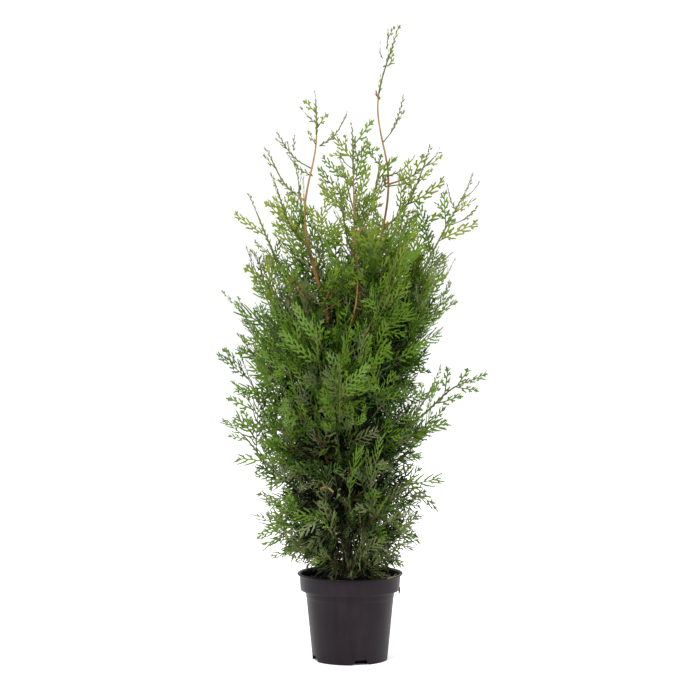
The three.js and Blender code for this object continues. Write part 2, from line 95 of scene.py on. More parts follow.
SHOOT = dict(radius=0.62, elbow_out=0.5, elbow_up=0.3)
SPRAY = dict(
    stem_end=0.82, spacing=22, first_at=8, angle=46, roll=38, longest=118, shortest=38, share_of_stem=0.62,
    spread=0.15, sunk=0.3, tip_sunk=3, lift=0.12, stray=0.5, twist=0.9, foot_shape=0.75, taper=0.45,
)

# ---- Finer growth, which only shows here ----

BETWEEN = dict(closeness=1.35, seed=500)  # more sprays of the same rule between the source's own
LOW_DOWN = dict(heights=(260, 560), longer=1.42, closeness=0.7)  # low masses: longer sprays, farther apart
FINE_SHOOTS = dict(
    trunk_gap=7.6, leader_gap=30, bough_gap=34, reach=(0.48, 1.02), radius=1.5, size=1.3, highest=800,
    height=[160, 300, 500, 900], rise=[0.2, 0.5, 0.9, 1.4],
)
SIDE = dict(angle=46, out=16, length=0.56, shares=(0.15, 0.34, 0.54))  # side fronds
# How a frond is built, by habit: millimetres between branchlets, their reach as the least and what each
# millimetre of the frond adds, and their segments' length, gap, lean in degrees and half width
DENSE, OPEN, SPARSE, COMB = range(4)
HABITS = [
    dict(spacing=5.9, reach=(8, 0.2), segment=5.5, gap=10.0, lean=30, half_width=1.4),
    dict(spacing=6.2, reach=(7, 0.13), segment=6.0, gap=6.4, lean=38, half_width=1.65),
    dict(spacing=8.0, reach=(6, 0.1), segment=5.5, gap=7.0, lean=32, half_width=1.5),
    dict(spacing=6.5, reach=(10, 0.21), segment=5.0, gap=11.0, lean=28, half_width=1.5),
]
RAGGED = (0.56, 1.2)  # shares of the crown's radius between which each frond's own limit lies
# Fronds straight from the trunk, and ones inside the crown along the limbs' bare wood, which the foliage
# colours paint dark as shade
TRUNK_FRONDS = dict(
    count=64, heights=(158, 520), crowding=2.1, lean=(18, 56), foot_lean=([152, 230], [40, 0]),
    length=(56, 104),
)
INNER_FRONDS = dict(each=13, slope=(0.1, 1.6), length=(60, 100))
# What a frond is: the source's own, one more between those, a stem's tip, a side frond, or inside the crown
OWN, MORE, TIP, ASIDE, INSIDE = range(5)
# The chance that a frond is kept, by its height and by how far out it is, and the least chance by height
# that the source's own fronds and side fronds have
KEPT_BY_HEIGHT = ([580, 690, 740, 800, 880], [1, 0.84, 0.54, 0.2, 0.05])
KEPT_BY_REACH = ([0.35, 0.6, 0.82, 1.0], [1.5, 1, 0.74, 0.42])
OWN_KEPT = ([700, 800], [0.92, 0.78])
SIDE_KEPT = ([400, 560, 680, 780], [0.2, 0.4, 0.5, 0.36])
SHORTEST_FROND = 21
CLASSES = np.array([32, 46, 64, 86, 116], float)
VARIANTS = 3
# Where some finer shoots leave the trunk (a height) and where they end, out at the crown's edge
EDGE_SHOOTS = [
    (322, [-206, -24, 505]), (366, [-220, 14, 560]), (408, [-196, -70, 592]), (440, [-205, 40, 640]),
    (238, [-162, -44, 306]), (212, [-148, 26, 262]), (190, [-116, -56, 214]), (176, [-96, -20, 188]),
    (240, [136, -34, 308]), (216, [124, 28, 262]), (262, [126, -66, 350]), (182, [92, -42, 196]),
    (470, [184, -28, 676]), (516, [194, 22, 716]), (500, [-186, -30, 742]), (196, [30, -112, 232]),
    (202, [-152, -44, 246]), (186, [-122, 8, 212]), (206, [122, -52, 266]), (186, [106, 18, 222]),
    (232, [-40, -138, 300]), (286, [60, -140, 372]), (250, [-20, 140, 330]), (300, [90, 120, 400]),
]
# Small shoots by the leaders' tips: where they start and end, and how wide they are at their foot
TIP_SHOOTS = [
    ([-54, -38, 921], [-3, -44, 979], 1.3), ([-66, -40, 880], [-129, -46, 944], 1.4),
    ([-61, -38, 962], [-73, -40, 974], 0.9), ([-66, -41, 868], [-112, -30, 908], 1.1),
    ([-100, -43, 913], [-98, -50, 940], 0.8), ([66, 24, 1095], [68, 20, 1131], 0.9),
    ([59, 24, 1079], [53, 20, 1091], 0.8), ([59, 25, 1064], [79, 18, 1072], 0.9),
    ([54, 26, 1006], [45, 22, 1018], 0.8), ([60, 28, 930], [97, 20, 1013], 1.2),
    ([66, 30, 868], [118, 16, 905], 1.5), ([64, 30, 850], [140, 30, 872], 1.6),
    ([187, -15, 810], [172, -20, 856], 0.9), ([196, -14, 828], [231, -16, 858], 0.9),
    ([180, -16, 800], [150, -22, 824], 0.9), ([172, -17, 780], [228, -20, 814], 1.1),
    ([6, -30, 900], [30, -36, 934], 1.0), ([6, -32, 880], [-22, -40, 915], 1.1),
    ([66, 30, 880], [28, 24, 930], 1.2),
]
TIP_SIZE = 0.62  # how long their fronds are
# Where bare stems show through, as places across and up, fronds in front of them are left out
WINDOWS = [
    [[-66, 872], [-75, 764], [-52, 668], [-39, 596]], [[12, 690], [15, 648], [-4, 588]],
    [[66, 880], [64, 800], [58, 740]],
]
WINDOW_WIDTH = (6, 0.05)  # millimetres aside, and what each millimetre of a frond adds
# The crown's edge to the left and to the right of the trunk, which few fronds pass
EDGE = np.array([
    [150, 66, 68], [180, 92, 90], [210, 140, 122], [290, 176, 146], [370, 160, 132], [445, 178, 148],
    [520, 214, 160], [560, 222, 164], [620, 188, 170], [660, 180, 188], [700, 184, 194],
    [765, 172, 198], [800, 156, 196], [840, 138, 188], [880, 104, 156], [917, 100, 140], [955, 72, 66],
    [1010, 60, 60],
], float)


# ---- Small helpers ----


def linear(colour):
    """An sRGB hex colour as linear RGBA."""
    parts = [int(colour[i:i + 2], 16) / 255 for i in (1, 3, 5)]
    return (*(c / 12.92 if c <= 0.04045 else ((c + 0.055) / 1.055) ** 2.4 for c in parts), 1)


def lerp(a, b, share):
    return a + (b - a) * share


def unit(vectors):
    return vectors / np.linalg.norm(vectors, axis=-1, keepdims=True)


def add(tree, kind, inputs, **settings):
    """Adds a node. settings are its properties; inputs are its sockets' values, or the sockets that feed
    them."""
    made = tree.nodes.new(kind)
    for key, value in settings.items():
        setattr(made, key, value)
    for key, value in inputs.items():
        if isinstance(value, bpy.types.NodeSocket):
            tree.links.new(value, made.inputs[key])
        else:
            made.inputs[key].default_value = value
    return made


def drawn(seed):
    """The source's repeatable run of numbers from 0 to 1, made by mixing the bits of a growing count."""
    mask = 0xFFFFFFFF
    state = seed
    while True:
        state = (state + 0x6D2B79F5) & mask
        t = ((state ^ state >> 15) * (state | 1)) & mask
        t ^= (t + ((t ^ t >> 7) * (t | 61) & mask)) & mask
        yield ((t ^ t >> 14) & mask) / 2 ** 32


def grid(rows, turns):
    """Four-cornered faces of a sheet of rows of points that closes on itself in its turns."""
    row = np.arange(rows - 1)[:, None] * turns
    here = row + np.arange(turns)
    on = row + (np.arange(turns) + 1) % turns
    return np.stack([here, on, on + turns, here + turns], -1).reshape(-1, 4)


def skin(rows, turns):
    """Faces of a closed skin: the sheet above, and a fan to each of the two poles that follow its
    points."""
    here = np.arange(turns)
    on = (here + 1) % turns
    pole = np.full(turns, rows * turns)
    last = (rows - 1) * turns
    first_fan = np.stack([pole, on, here], -1)
    last_fan = np.stack([last + here, last + on, pole + 1], -1)
    return [grid(rows, turns), np.vstack([first_fan, last_fan])]


def joined(parts):
    """Several (points, [faces, ...]) as one, with each part's corner numbers moved on past the parts
    before it."""
    points = np.vstack([p for p, _ in parts])
    starts = np.cumsum([0] + [len(p) for p, _ in parts[:-1]])
    faces = [f + start for (_, lists), start in zip(parts, starts) for f in lists]
    return points, faces


def piece(name, points, faces, material, slot, nodes, smooth=True, sharp=None):
    """A mesh from points in millimetres and arrays of faces, riding on the plant in place of some
    solids."""
    mesh = bpy.data.meshes.new(name)
    corners = np.concatenate([f.ravel() for f in faces]).astype(np.int32)
    sizes = np.concatenate([np.full(len(f), f.shape[1]) for f in faces])
    mesh.vertices.add(len(points))
    mesh.vertices.foreach_set("co", (points * 0.001).astype(np.float32).ravel())
    mesh.loops.add(len(corners))
    mesh.loops.foreach_set("vertex_index", corners)
    mesh.polygons.add(len(sizes))
    mesh.polygons.foreach_set("loop_start", (np.cumsum(sizes) - sizes).astype(np.int32))
    mesh.polygons.foreach_set("use_smooth", np.full(len(sizes), smooth))
    mesh.update(calc_edges=True)
    mesh.validate()
    if sharp:
        mesh.set_sharp_from_angle(angle=math.radians(sharp))
    made = bpy.data.objects.new(name, mesh)
    bpy.context.scene.collection.objects.link(made)
    mesh.materials.append(material)
    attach(made, "root")
    if nodes:
        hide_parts(*nodes)
    return made


def knots(rng, down, around, cells):
    """Smooth random heights from -1 to 1 at places down (0 to 1) and around (0 to 1, closing on itself):
    random knots on a lattice of cells, eased from knot to knot."""
    rows, cols = cells
    height = rng.uniform(-1, 1, (rows + 1, cols))
    y = np.clip(down, 0, 0.9999) * rows
    x = (around % 1) * cols
    y0 = np.floor(y).astype(int)
    x0 = np.floor(x).astype(int) % cols
    fy = (y - y0) ** 2 * (3 - 2 * (y - y0))
    fx = (x - np.floor(x)) ** 2 * (3 - 2 * (x - np.floor(x)))
    x1 = (x0 + 1) % cols
    top = lerp(height[y0, x0], height[y0, x1], fx)
    low = lerp(height[y0 + 1, x0], height[y0 + 1, x1], fx)
    return lerp(top, low, fy)


# ---- Curves ----


class Curve:
    """A centripetal Catmull-Rom curve through some points, asked for by its share of arc length. Past each
    end a point is added in line. Each run is the cubic with the middle points' tangents, worked out from
    the fourth roots of the squared gaps."""

    def __init__(self, points, steps=60):
        p = np.array(points, float)
        p = np.vstack([2 * p[0] - p[1], p, 2 * p[-1] - p[-2]])
        t = np.linspace(0, 1, steps, endpoint=False)[:, None]
        runs = []
        for a, b, c, d in zip(p, p[1:], p[2:], p[3:]):
            g0, g1, g2 = (np.linalg.norm(y - x) ** 0.5 for x, y in ((a, b), (b, c), (c, d)))
            start = ((b - a) / g0 - (c - a) / (g0 + g1) + (c - b) / g1) * g1
            end = ((c - b) / g1 - (d - b) / (g1 + g2) + (d - c) / g2) * g1
            square = -3 * b + 3 * c - 2 * start - end
            cube = 2 * b - 2 * c + start + end
            runs.append(b + start * t + square * t ** 2 + cube * t ** 3)
        self.line = np.vstack([*runs, p[-2]])
        gone = np.cumsum(np.linalg.norm(np.diff(self.line, axis=0), axis=1))
        self.length = gone[-1]
        self.share = np.concatenate([[0], gone]) / self.length

    def at(self, shares):
        return np.stack([np.interp(shares, self.share, axis) for axis in self.line.T], -1)

    def tangent(self, shares, step=0.002):
        shares = np.asarray(shares, float)
        return unit(self.at(np.minimum(shares + step, 1)) - self.at(np.maximum(shares - step, 0)))

    def frames(self, shares):
        """Centre, tangent, normal and across at each share. The normal is carried along without
        twisting."""
        tangent = self.tangent(shares)
        normal = np.empty_like(tangent)
        last = np.array([0, -1, 0.0])
        for i, way in enumerate(tangent):
            last = unit(last - way * (last @ way))
            normal[i] = last
        return self.at(shares), tangent, normal, np.cross(normal, tangent)


def tube(curve, shares, radius):
    """A closed skin round a curve: a ring at each share, radius[share, turn] wide, and a pole at each
    end."""
    centre, _, normal, across = curve.frames(shares)
    turn = np.linspace(0, 2 * np.pi, radius.shape[1], endpoint=False)[None, :, None]
    ring = np.cos(turn) * normal[:, None] - np.sin(turn) * across[:, None]
    points = centre[:, None] + radius[..., None] * ring
    return np.vstack([points.reshape(-1, 3), centre[[0, -1]]]), skin(*radius.shape)


# ---- The plant's lines, by the source's rule ----

trunk_curve = Curve([[x, y, z + GROUND] for x, y, z in TRUNK["path"]])


def trunk_at(height):
    return np.array([np.interp(height, trunk_curve.line[:, 2], axis) for axis in trunk_curve.line.T])


def crown_radius(height):
    """The crown's radius at some heights, eased between the rows of the table."""
    top, wide = CROWN.T
    height = np.clip(height, top[0], top[-1])
    row = np.clip(np.searchsorted(top, height), 1, len(top) - 1)
    share = (height - top[row - 1]) / (top[row] - top[row - 1])
    return lerp(wide[row - 1], wide[row], share * share * (3 - 2 * share))


def round_limbs(rule):
    """Limbs that go round the trunk by the golden angle, from the lowest up, each out to the edge of the
    crown."""
    made = []
    for i in range(rule["count"]):
        share = i / (rule["count"] - 1)
        turn = math.radians(rule["first_turn"] + i * GOLDEN_ANGLE)
        foot = lerp(*rule["feet"], share ** rule["crowding"])
        rise = lerp(*rule["rises"], share)
        start = trunk_at(foot)
        reach = crown_radius(foot + rise) * rule["reach"]
        x, y = math.cos(turn) * reach, math.sin(turn) * reach
        path = [
            [lerp(start[0], x, out), lerp(start[1], y, out), foot + rise * up] for out, up in rule["bow"]
        ]
        made.append((f"{rule['name']}_{i + 1}", foot, rule["radius"], rule["bare"], rule["lush"], path, []))
    return made


def limb_radius(radius, tip=TIP_RADIUS, power=0.8):
    return lambda share: lerp(radius, tip, np.asarray(share) ** power)


def grown(limb):
    """A limb's curve, and the masses of foliage that it and its side shoots end in."""
    name, foot, radius, bare, lush, path, shoots = limb
    curve = Curve([trunk_at(foot), *path])
    width = limb_radius(radius)
    first = SPRAY["first_at"]
    masses = [dict(
        name=name + "_foliage" if bare else name, curve=curve, width=width, lush=lush, limb=name,
        start=bare + CLEARANCE / curve.length if bare else 0,
        first_at=first if bare else first + 2 * TRUNK["foot_radius"], shoot=not bare,
    )]
    for i, (share, way) in enumerate(shoots):
        start = curve.at(share)
        way = np.array(way, float)
        elbow = start + way * [SHOOT["elbow_out"], SHOOT["elbow_out"], SHOOT["elbow_up"]]
        masses.append(dict(
            name=f"{name}_foliage_{i + 1}", curve=Curve([start, elbow, start + way]), lush=1, limb=name,
            start=0, width=limb_radius(width(share) * SHOOT["radius"], power=1),
            first_at=first + 2 * radius, shoot=True,
        ))
    for mass in masses:
        mass["end"] = lerp(mass["start"], 1, SPRAY["stem_end"])
        mass["length"] = mass["curve"].length * (mass["end"] - mass["start"])
    return dict(name=name, curve=curve, width=width, radius=radius, bare=bare, masses=masses)


limbs = [grown(limb) for limb in [*LEADERS, *LONG_BOUGHS, *round_limbs(ROUND_BOUGHS)]]
low_shoots = [grown(limb) for limb in round_limbs(LOW_SHOOTS)]
masses = [mass for limb in [*limbs, *low_shoots] for mass in limb["masses"]]


def edge_radius(points):
    """How far out the crown's edge is, on the way from the plant's axis to some points."""
    high, left, right = EDGE.T
    to_left, to_right = np.interp(points[:, 2], high, left), np.interp(points[:, 2], high, right)
    across = points[:, 0] / np.maximum(np.hypot(points[:, 0], points[:, 1]), 1e-6)
    return (to_left + to_right) / 2 + (to_right - to_left) / 2 * across


def out_share(points):
    """How far out some points are, from 0 on the plant's axis to 1 at the crown's edge."""
    return np.hypot(points[:, 0], points[:, 1]) / edge_radius(points)


def nearest_low(height):
    """The name of the low shoot that leaves the trunk nearest to a height."""
    return min(low_shoots, key=lambda limb: abs(limb["curve"].line[0, 2] - height))["name"]


def shoot_between(start, end, radius, name):
    """A fine shoot's mass of foliage, bent in the source's way: out by half and up by a third, then on to
    its tip."""
    way = end - start
    line = Curve([start, start + way * [SHOOT["elbow_out"], SHOOT["elbow_out"], SHOOT["elbow_up"]], end])
    return dict(
        name=name, curve=line, lush=1, limb="fine", start=0, end=SPRAY["stem_end"], shoot=True,
        width=limb_radius(radius, 0.8, 1), first_at=SPRAY["first_at"] + 4,
        length=line.length * SPRAY["stem_end"],
    )


def fine_shoots(rng):
    """Finer shoots along the bare wood. They go round their carrier by the golden angle and reach part of
    the way to the crown's edge, and one that would end too high is left out. The shoots of the two tables
    follow."""
    rule = FINE_SHOOTS
    carriers = [(trunk_curve, 0.035, 1, rule["trunk_gap"], None)]
    for limb in limbs:
        gap = rule["leader_gap"] if "leader" in limb["name"] else rule["bough_gap"]
        carriers.append((limb["curve"], 0.12, limb["bare"], gap, limb["name"] + "_foliage"))
    made = []
    for curve, first, last, gap, owner in carriers:
        count = int(curve.length * (last - first) / gap)
        for i in range(count):
            part = (i + rng.uniform(0.2, 0.8)) / count
            share = lerp(first, last, part if owner else part ** 1.5)
            start = curve.at(share)
            turn = math.radians(i * GOLDEN_ANGLE + rng.uniform(-20, 20))
            reach = edge_radius(start[None] + [math.cos(turn), math.sin(turn), 60])[0]
            reach = max(reach * rng.uniform(*rule["reach"]) - 0.5 * np.hypot(start[0], start[1]), 42)
            rise = reach * np.interp(start[2], rule["height"], rule["rise"]) * rng.uniform(0.7, 1.25)
            way = np.array([math.cos(turn) * reach, math.sin(turn) * reach, rise])
            if start[2] + rise > rule["highest"]:
                continue
            made.append(shoot_between(start, start + way, rule["radius"], owner or nearest_low(start[2])))
    for start, end, radius in TIP_SHOOTS:
        shoot = shoot_between(np.array(start, float), np.array(end, float), radius, "tall_leader_foliage")
        made.append(dict(shoot, size=TIP_SIZE))
    for height, end in EDGE_SHOOTS:
        radius = rule["radius"] + 0.4
        made.append(shoot_between(trunk_at(height), np.array(end, float), radius, nearest_low(height)))
    return made


# ---- Fronds: where they stand ----


def laterals(mass, seed, closeness, size):
    """Sprays in pairs along a mass's stem, each pair turned on from the last, by the source's rule and its
    run of numbers. closeness sets them nearer together, size makes them longer or shorter."""
    rule = SPRAY
    numbers = drawn(seed)
    room = mass["length"] - mass["first_at"]
    count = max(3, int(room / lerp(rule["spacing"] * 2, rule["spacing"], mass["lush"]) * closeness))
    i = np.arange(count)
    shares = lerp(mass["start"], mass["end"], (mass["first_at"] + room * (i + 0.3) / count) / mass["length"])
    longest = min(rule["longest"], max(rule["shortest"], mass["length"] * rule["share_of_stem"]))
    start_turn = next(numbers) * 2 * np.pi
    turned, angled, twisted, sized = np.array([[next(numbers) for _ in range(4)] for _ in i]).T
    roll = math.radians(rule["roll"])
    turn = start_turn + (i % 2) * np.pi + i // 2 * roll + (turned - 0.5) * rule["stray"]
    angle = (math.radians(rule["angle"]) * (1 + (2 * angled - 1) * rule["spread"]))[:, None]
    twist = ((twisted - 0.5) * rule["twist"])[:, None]
    shape = np.minimum(1, rule["foot_shape"] + 2 * i / count) * (1 - rule["taper"] * (i / count) ** 2)
    length = longest * lerp(0.5, 1, mass["lush"]) * shape * (1 + (2 * sized - 1) * rule["spread"]) * size
    centre, tangent, normal, across = mass["curve"].frames(shares)
    outwards = normal * np.cos(turn)[:, None] + across * np.sin(turn)[:, None]
    along = tangent * np.cos(angle) + outwards * np.sin(angle)
    side = outwards * np.cos(angle) - tangent * np.sin(angle)
    wide = side * np.cos(twist) + np.cross(outwards, tangent) * np.sin(twist)
    root = centre + outwards * (rule["sunk"] * mass["width"](shares))[:, None]
    return root, along, wide, length


def tip_spray(mass):
    """The spray that carries a stem on to the mass's tip."""
    centre, tangent, normal, _ = mass["curve"].frames(np.array([mass["end"]]))
    root = centre - tangent * SPRAY["tip_sunk"]
    return root, tangent, normal, np.linalg.norm(root - mass["curve"].at(1.0), axis=1)


def lying(fronds, rng):
    """How some fronds lie: where they start and head, and how much each is lifted off its plane, swept
    aside, cupped, turned about its rib, and bent up or down towards its end."""
    root, along, wide, length = fronds
    count = len(length)
    rise = np.interp(root[:, 2], [160, 260, 420, 700, 950], [-0.26, -0.18, 0.04, 0.36, 0.42])
    return dict(
        root=root, along=along, wide=wide, length=length,
        lift=SPRAY["lift"] * rng.uniform(0.1, 1.3, count),
        sweep=rng.normal(0, 0.07, count),
        cup=rng.uniform(-0.4, 0.6, count),
        turn=rng.normal(0, 0.35, count),
        rise=(rise + rng.normal(0, 0.06, count)) * (1 - np.abs(along[:, 2])),
    )


def placed(u, w, z, lie):
    """Puts points of fronds in place: u along each rib, w aside, z off its plane. All that lying() tells
    of grows with the square of the share of the way, but the turn, which grows evenly."""
    length, lift, sweep, cup, twist, rise = (
        lie[key][:, None] for key in ("length", "lift", "sweep", "cup", "turn", "rise"))
    share = u / length
    turn = twist * share
    w, z = w * np.cos(turn) - z * np.sin(turn), w * np.sin(turn) + z * np.cos(turn)
    bent = length * share ** 2
    z = z - lift * bent + cup * w ** 2 / length
    w = w + sweep * bent
    flat = np.cross(lie["along"], lie["wide"])
    at = lie["root"][:, None] + u[..., None] * lie["along"][:, None]
    at += w[..., None] * lie["wide"][:, None] + z[..., None] * flat[:, None]
    at[..., 2] += rise * bent
    return at


def on_rib(lie, share):
    """The place on each frond's rib at a share of its way."""
    u = (lie["length"] * share)[:, None]
    return placed(u, u * 0, u * 0, lie)[:, 0]


def side_fronds(lie, share, hand, rng):
    """A smaller frond off each frond's rib, at a share of its way, on one hand and a little out of its
    plane."""
    count = len(lie["length"])
    start = on_rib(lie, share)
    heading = unit(on_rib(lie, share + 0.06) - start)
    flat = unit(np.cross(heading, lie["wide"]))
    wide = np.cross(flat, heading)
    lean = np.radians(SIDE["angle"] * rng.uniform(0.8, 1.2, count))[:, None]
    out = np.radians(rng.uniform(-1, 1, count) * SIDE["out"])[:, None]
    aside = wide * hand[:, None] * np.cos(out) + flat * np.sin(out)
    way = heading * np.cos(lean) + aside * np.sin(lean)
    across = unit(np.cross(np.cross(way, wide + 0.35 * flat * rng.normal(0, 1, (count, 1))), way))
    length = lie["length"] * SIDE["length"] * (1.15 - 0.6 * share) * rng.uniform(0.8, 1.15, count)
    return start, way, across, length


def fitted(fronds, least, rng):
    """Shortens the fronds that would pass the crown's ragged edge, which is a little different for each.
    least is the share of its length that each one keeps at least."""
    root, along, wide, length = fronds
    inner, outer = out_share(root), out_share(root + along * length[:, None])
    edge = rng.uniform(*RAGGED, len(length))
    room = np.clip((edge - inner) / np.maximum(outer - inner, 1e-6), least, 1)
    return root, along, wide, np.where(outer < edge, length, length * room)


def trunk_fronds(rng):
    """Fronds straight from the trunk, round it by the golden angle, closer together low down, each leaning
    outwards, more so at the foot. With them comes the number of the mass that starts nearest to each."""
    rule = TRUNK_FRONDS
    count = rule["count"]
    height = lerp(*rule["heights"], (np.arange(count) / count) ** rule["crowding"])
    turn = np.radians(np.arange(count) * GOLDEN_ANGLE + rng.uniform(-15, 15, count))
    outwards = np.stack([np.cos(turn), np.sin(turn), turn * 0], -1)
    lean = rng.uniform(*rule["lean"], count) + np.interp(height, *rule["foot_lean"])
    lean = np.radians(lean)[:, None]
    way = outwards * np.sin(lean) + np.array([0, 0, 1]) * np.cos(lean)
    sideways = np.stack([-np.sin(turn), np.cos(turn), turn * 0], -1)
    feet = np.array([trunk_at(h) for h in height]) + outwards * 4
    starts = np.array([mass["curve"].line[0, 2] if mass["shoot"] else 1e9 for mass in masses])
    nearest = np.argmin(np.abs(starts - height[:, None]), axis=1)
    return nearest, (feet, way, sideways, rng.uniform(*rule["length"], count))


def inner_fronds(limb, rng):
    """Fronds inside the crown, which the foliage colours paint dark as shade, from anywhere along a limb's
    bare wood and any way round it.
    """
    rule = INNER_FRONDS
    count = rule["each"]
    share = rng.uniform(0.06, limb["bare"], count)
    turn = rng.uniform(0, 2 * np.pi, count)
    slope = rng.uniform(*rule["slope"], count)
    way = unit(np.stack([np.cos(turn), np.sin(turn), slope], -1))
    sideways = unit(np.stack([-np.sin(turn), np.cos(turn), rng.normal(0, 0.5, count)], -1))
    sideways = unit(sideways - way * np.sum(way * sideways, axis=1, keepdims=True))
    return limb["curve"].at(share), way, sideways, rng.uniform(*rule["length"], count)


def combed(fronds, order):
    """Turns fronds towards the light, outwards and, higher up, upwards: the finer ones more than the
    source's. Their planes are set on edge, most of all low down, so that they stand out from the trunk
    like pages."""
    root, along, wide, length = fronds
    outwards = root * [1, 1, 0] / np.maximum(np.hypot(root[:, 0], root[:, 1]), 1)[:, None]
    aim = 0.55 * outwards + np.interp(root[:, 2], [180, 300, 600], [0.05, 0.4, 0.9])[:, None] * [0, 0, 1]
    turned = np.select([order == OWN, (order == TIP) | (order == INSIDE)], [0.22, 0.0], 0.5)
    along = unit(along + turned[:, None] * aim)
    upright = np.interp(root[:, 2], [150, 450, 750], [1.6, 1.0, 0.5]) * np.where(wide[:, 2] < 0, -1, 1)
    wide = wide + upright[:, None] * [0, 0, 1]
    return [root, along, unit(wide - along * np.sum(wide * along, axis=1, keepdims=True)), length]


def gathered(rows):
    """Rows of (mass number, order, fronds) as one array of each."""
    number = np.concatenate([np.broadcast_to(n, len(f[3])) for n, _, f in rows])
    order = np.concatenate([np.full(len(f[3]), o) for _, o, f in rows])
    return number, order, [np.concatenate([f[i] for _, _, f in rows]) for i in range(4)]


def thinned(mass_of, order, fronds, rng):
    """Fits some fronds into the crown and leaves out what its open top and its edge have no place for."""
    root, along, wide, length = fronds
    whole = (order == TIP) | on_leader[mass_of]
    least = np.where(order == INSIDE, 0.3, 0.5)
    least = np.where(whole, 1, np.where((order == OWN) & (root[:, 2] > 700), 0.75, least))
    shorter = np.interp(root[:, 2], [740, 840], [1, 0.78])
    fronds = fitted([root, along, wide, np.where(whole, length, length * shorter)], least, rng)
    root, along, _, length = fronds
    middle = root + along * (length * 0.6)[:, None]
    height = middle[:, 2]
    chance = np.interp(height, *KEPT_BY_HEIGHT) * np.interp(out_share(middle), *KEPT_BY_REACH)
    own = (order == OWN) & ((mass_of < len(masses)) & (height > 400) | on_leader[mass_of])
    aside = np.maximum(0.88 * chance, np.interp(height, *SIDE_KEPT))
    chance = np.where(order == ASIDE, aside, chance)
    chance = np.where(own, np.maximum(chance, np.interp(height, *OWN_KEPT)), chance)
    chance = np.where(on_leader[mass_of] & (order == OWN), 1, chance)
    keep = (order == TIP) | ((rng.uniform(size=len(length)) < chance) & (length > SHORTEST_FROND))
    return mass_of[keep], order[keep], [a[keep] for a in fronds]


rng = np.random.default_rng(20)
everyone = [*masses, *fine_shoots(rng)]
on_leader = np.array([
    "leader" in mass["name"] and (not mass["shoot"] or "size" in mass) for mass in everyone
])
parents = []
for number, mass in enumerate(everyone):
    by_source = number < len(masses)
    low_down = np.interp(mass["curve"].line[-1, 2], LOW_DOWN["heights"], [1, 0])
    size = lerp(1, LOW_DOWN["longer"], low_down) if by_source else mass.get("size", FINE_SHOOTS["size"])
    if by_source and on_leader[number]:
        size = np.interp(mass["lush"], [0.3, 0.6], [0.5, 1])
    parents.append((number, OWN, laterals(mass, FIRST_SEED + number, 1, size)))
    parents.append((number, TIP, tip_spray(mass)))
    if by_source and not on_leader[number]:
        closeness = BETWEEN["closeness"] * lerp(1, LOW_DOWN["closeness"], low_down)
        seed = FIRST_SEED + BETWEEN["seed"] + number
        parents.append((number, MORE, laterals(mass, seed, closeness, size)))
nearest, from_trunk = trunk_fronds(rng)
parents.append((nearest, MORE, from_trunk))
for limb in limbs:
    number = next(i for i, mass in enumerate(masses) if mass["limb"] == limb["name"])
    parents.append((number, INSIDE, inner_fronds(limb, rng)))

mass_of, order, fronds = gathered(parents)
mass_of, order, fronds = thinned(mass_of, order, combed(fronds, order), rng)
lie = lying(fronds, rng)
rows = [(mass_of, lie)]
hand = rng.choice([-1, 1], len(order))
for share in SIDE["shares"]:
    hand = -hand
    shares = share * rng.uniform(0.88, 1.12, len(order))
    aside = side_fronds(lie, shares, hand, rng)
    number, _, some = thinned(mass_of, np.full(len(order), ASIDE), aside, rng)
    rows.append((number, lying(some, rng)))
mass_of = np.concatenate([row[0] for row in rows])
lie = {key: np.concatenate([row[1][key] for row in rows]) for key in lie}

# A frond that would dip into the soil or the pot, or that hides a bare stem, is left out.
clear = np.ones(len(mass_of), bool)
for share in (0.5, 1.0):
    spot = on_rib(lie, share)
    far = np.hypot(spot[:, 0], spot[:, 1])
    clear &= spot[:, 2] > GROUND + 1
    clear &= (spot[:, 2] > POT["height"] + 4) | (far < POT["collar_radius"] - 7)
middle = on_rib(lie, 0.6)
beside = WINDOW_WIDTH[0] + WINDOW_WIDTH[1] * lie["length"]
for line in WINDOWS:
    across, up = np.array(line[::-1], float).T
    inside = (middle[:, 2] > up[0]) & (middle[:, 2] < up[-1]) & (middle[:, 1] < -20)
    clear &= ~(inside & (np.abs(middle[:, 0] - np.interp(middle[:, 2], up, across)) < beside))
mass_of, middle = mass_of[clear], middle[clear]
lie = {key: value[clear] for key, value in lie.items()}
length = lie["length"]

# ---- Fronds: what one looks like ----


def slivers(base, end, aside, half, half_end, thick):
    """Closed flat leaves of six faces: blunt strips from base to end, spread aside, half wide at the base
    and half_end at the end, flat below, with a ridge point thick high over their first third."""
    wide, narrow = aside * half[:, None], aside * half_end[:, None]
    ridge = base + (end - base) * 0.35 + thick * unit(np.cross(end - base, aside))
    return np.stack([base - wide, end - narrow, end + narrow, base + wide, ridge], 1)


SLIVER_FACES = np.array([[0, 1, 4], [1, 2, 4], [2, 3, 4], [3, 0, 4], [0, 3, 2], [0, 2, 1]])


def darts(base, end, aside, half, thick):
    """Closed leaves of four faces: kites with their shoulders half way from base to end, half wide aside
    and raised by thick."""
    up = thick * unit(np.cross(end - base, aside))
    shoulder = base + (end - base) * 0.5 + up
    wide = aside * half[:, None]
    return np.stack([base, shoulder + wide, shoulder - wide, end], 1)


DART_FACES = np.array([[0, 2, 1], [3, 1, 2], [0, 1, 3], [0, 3, 2]])


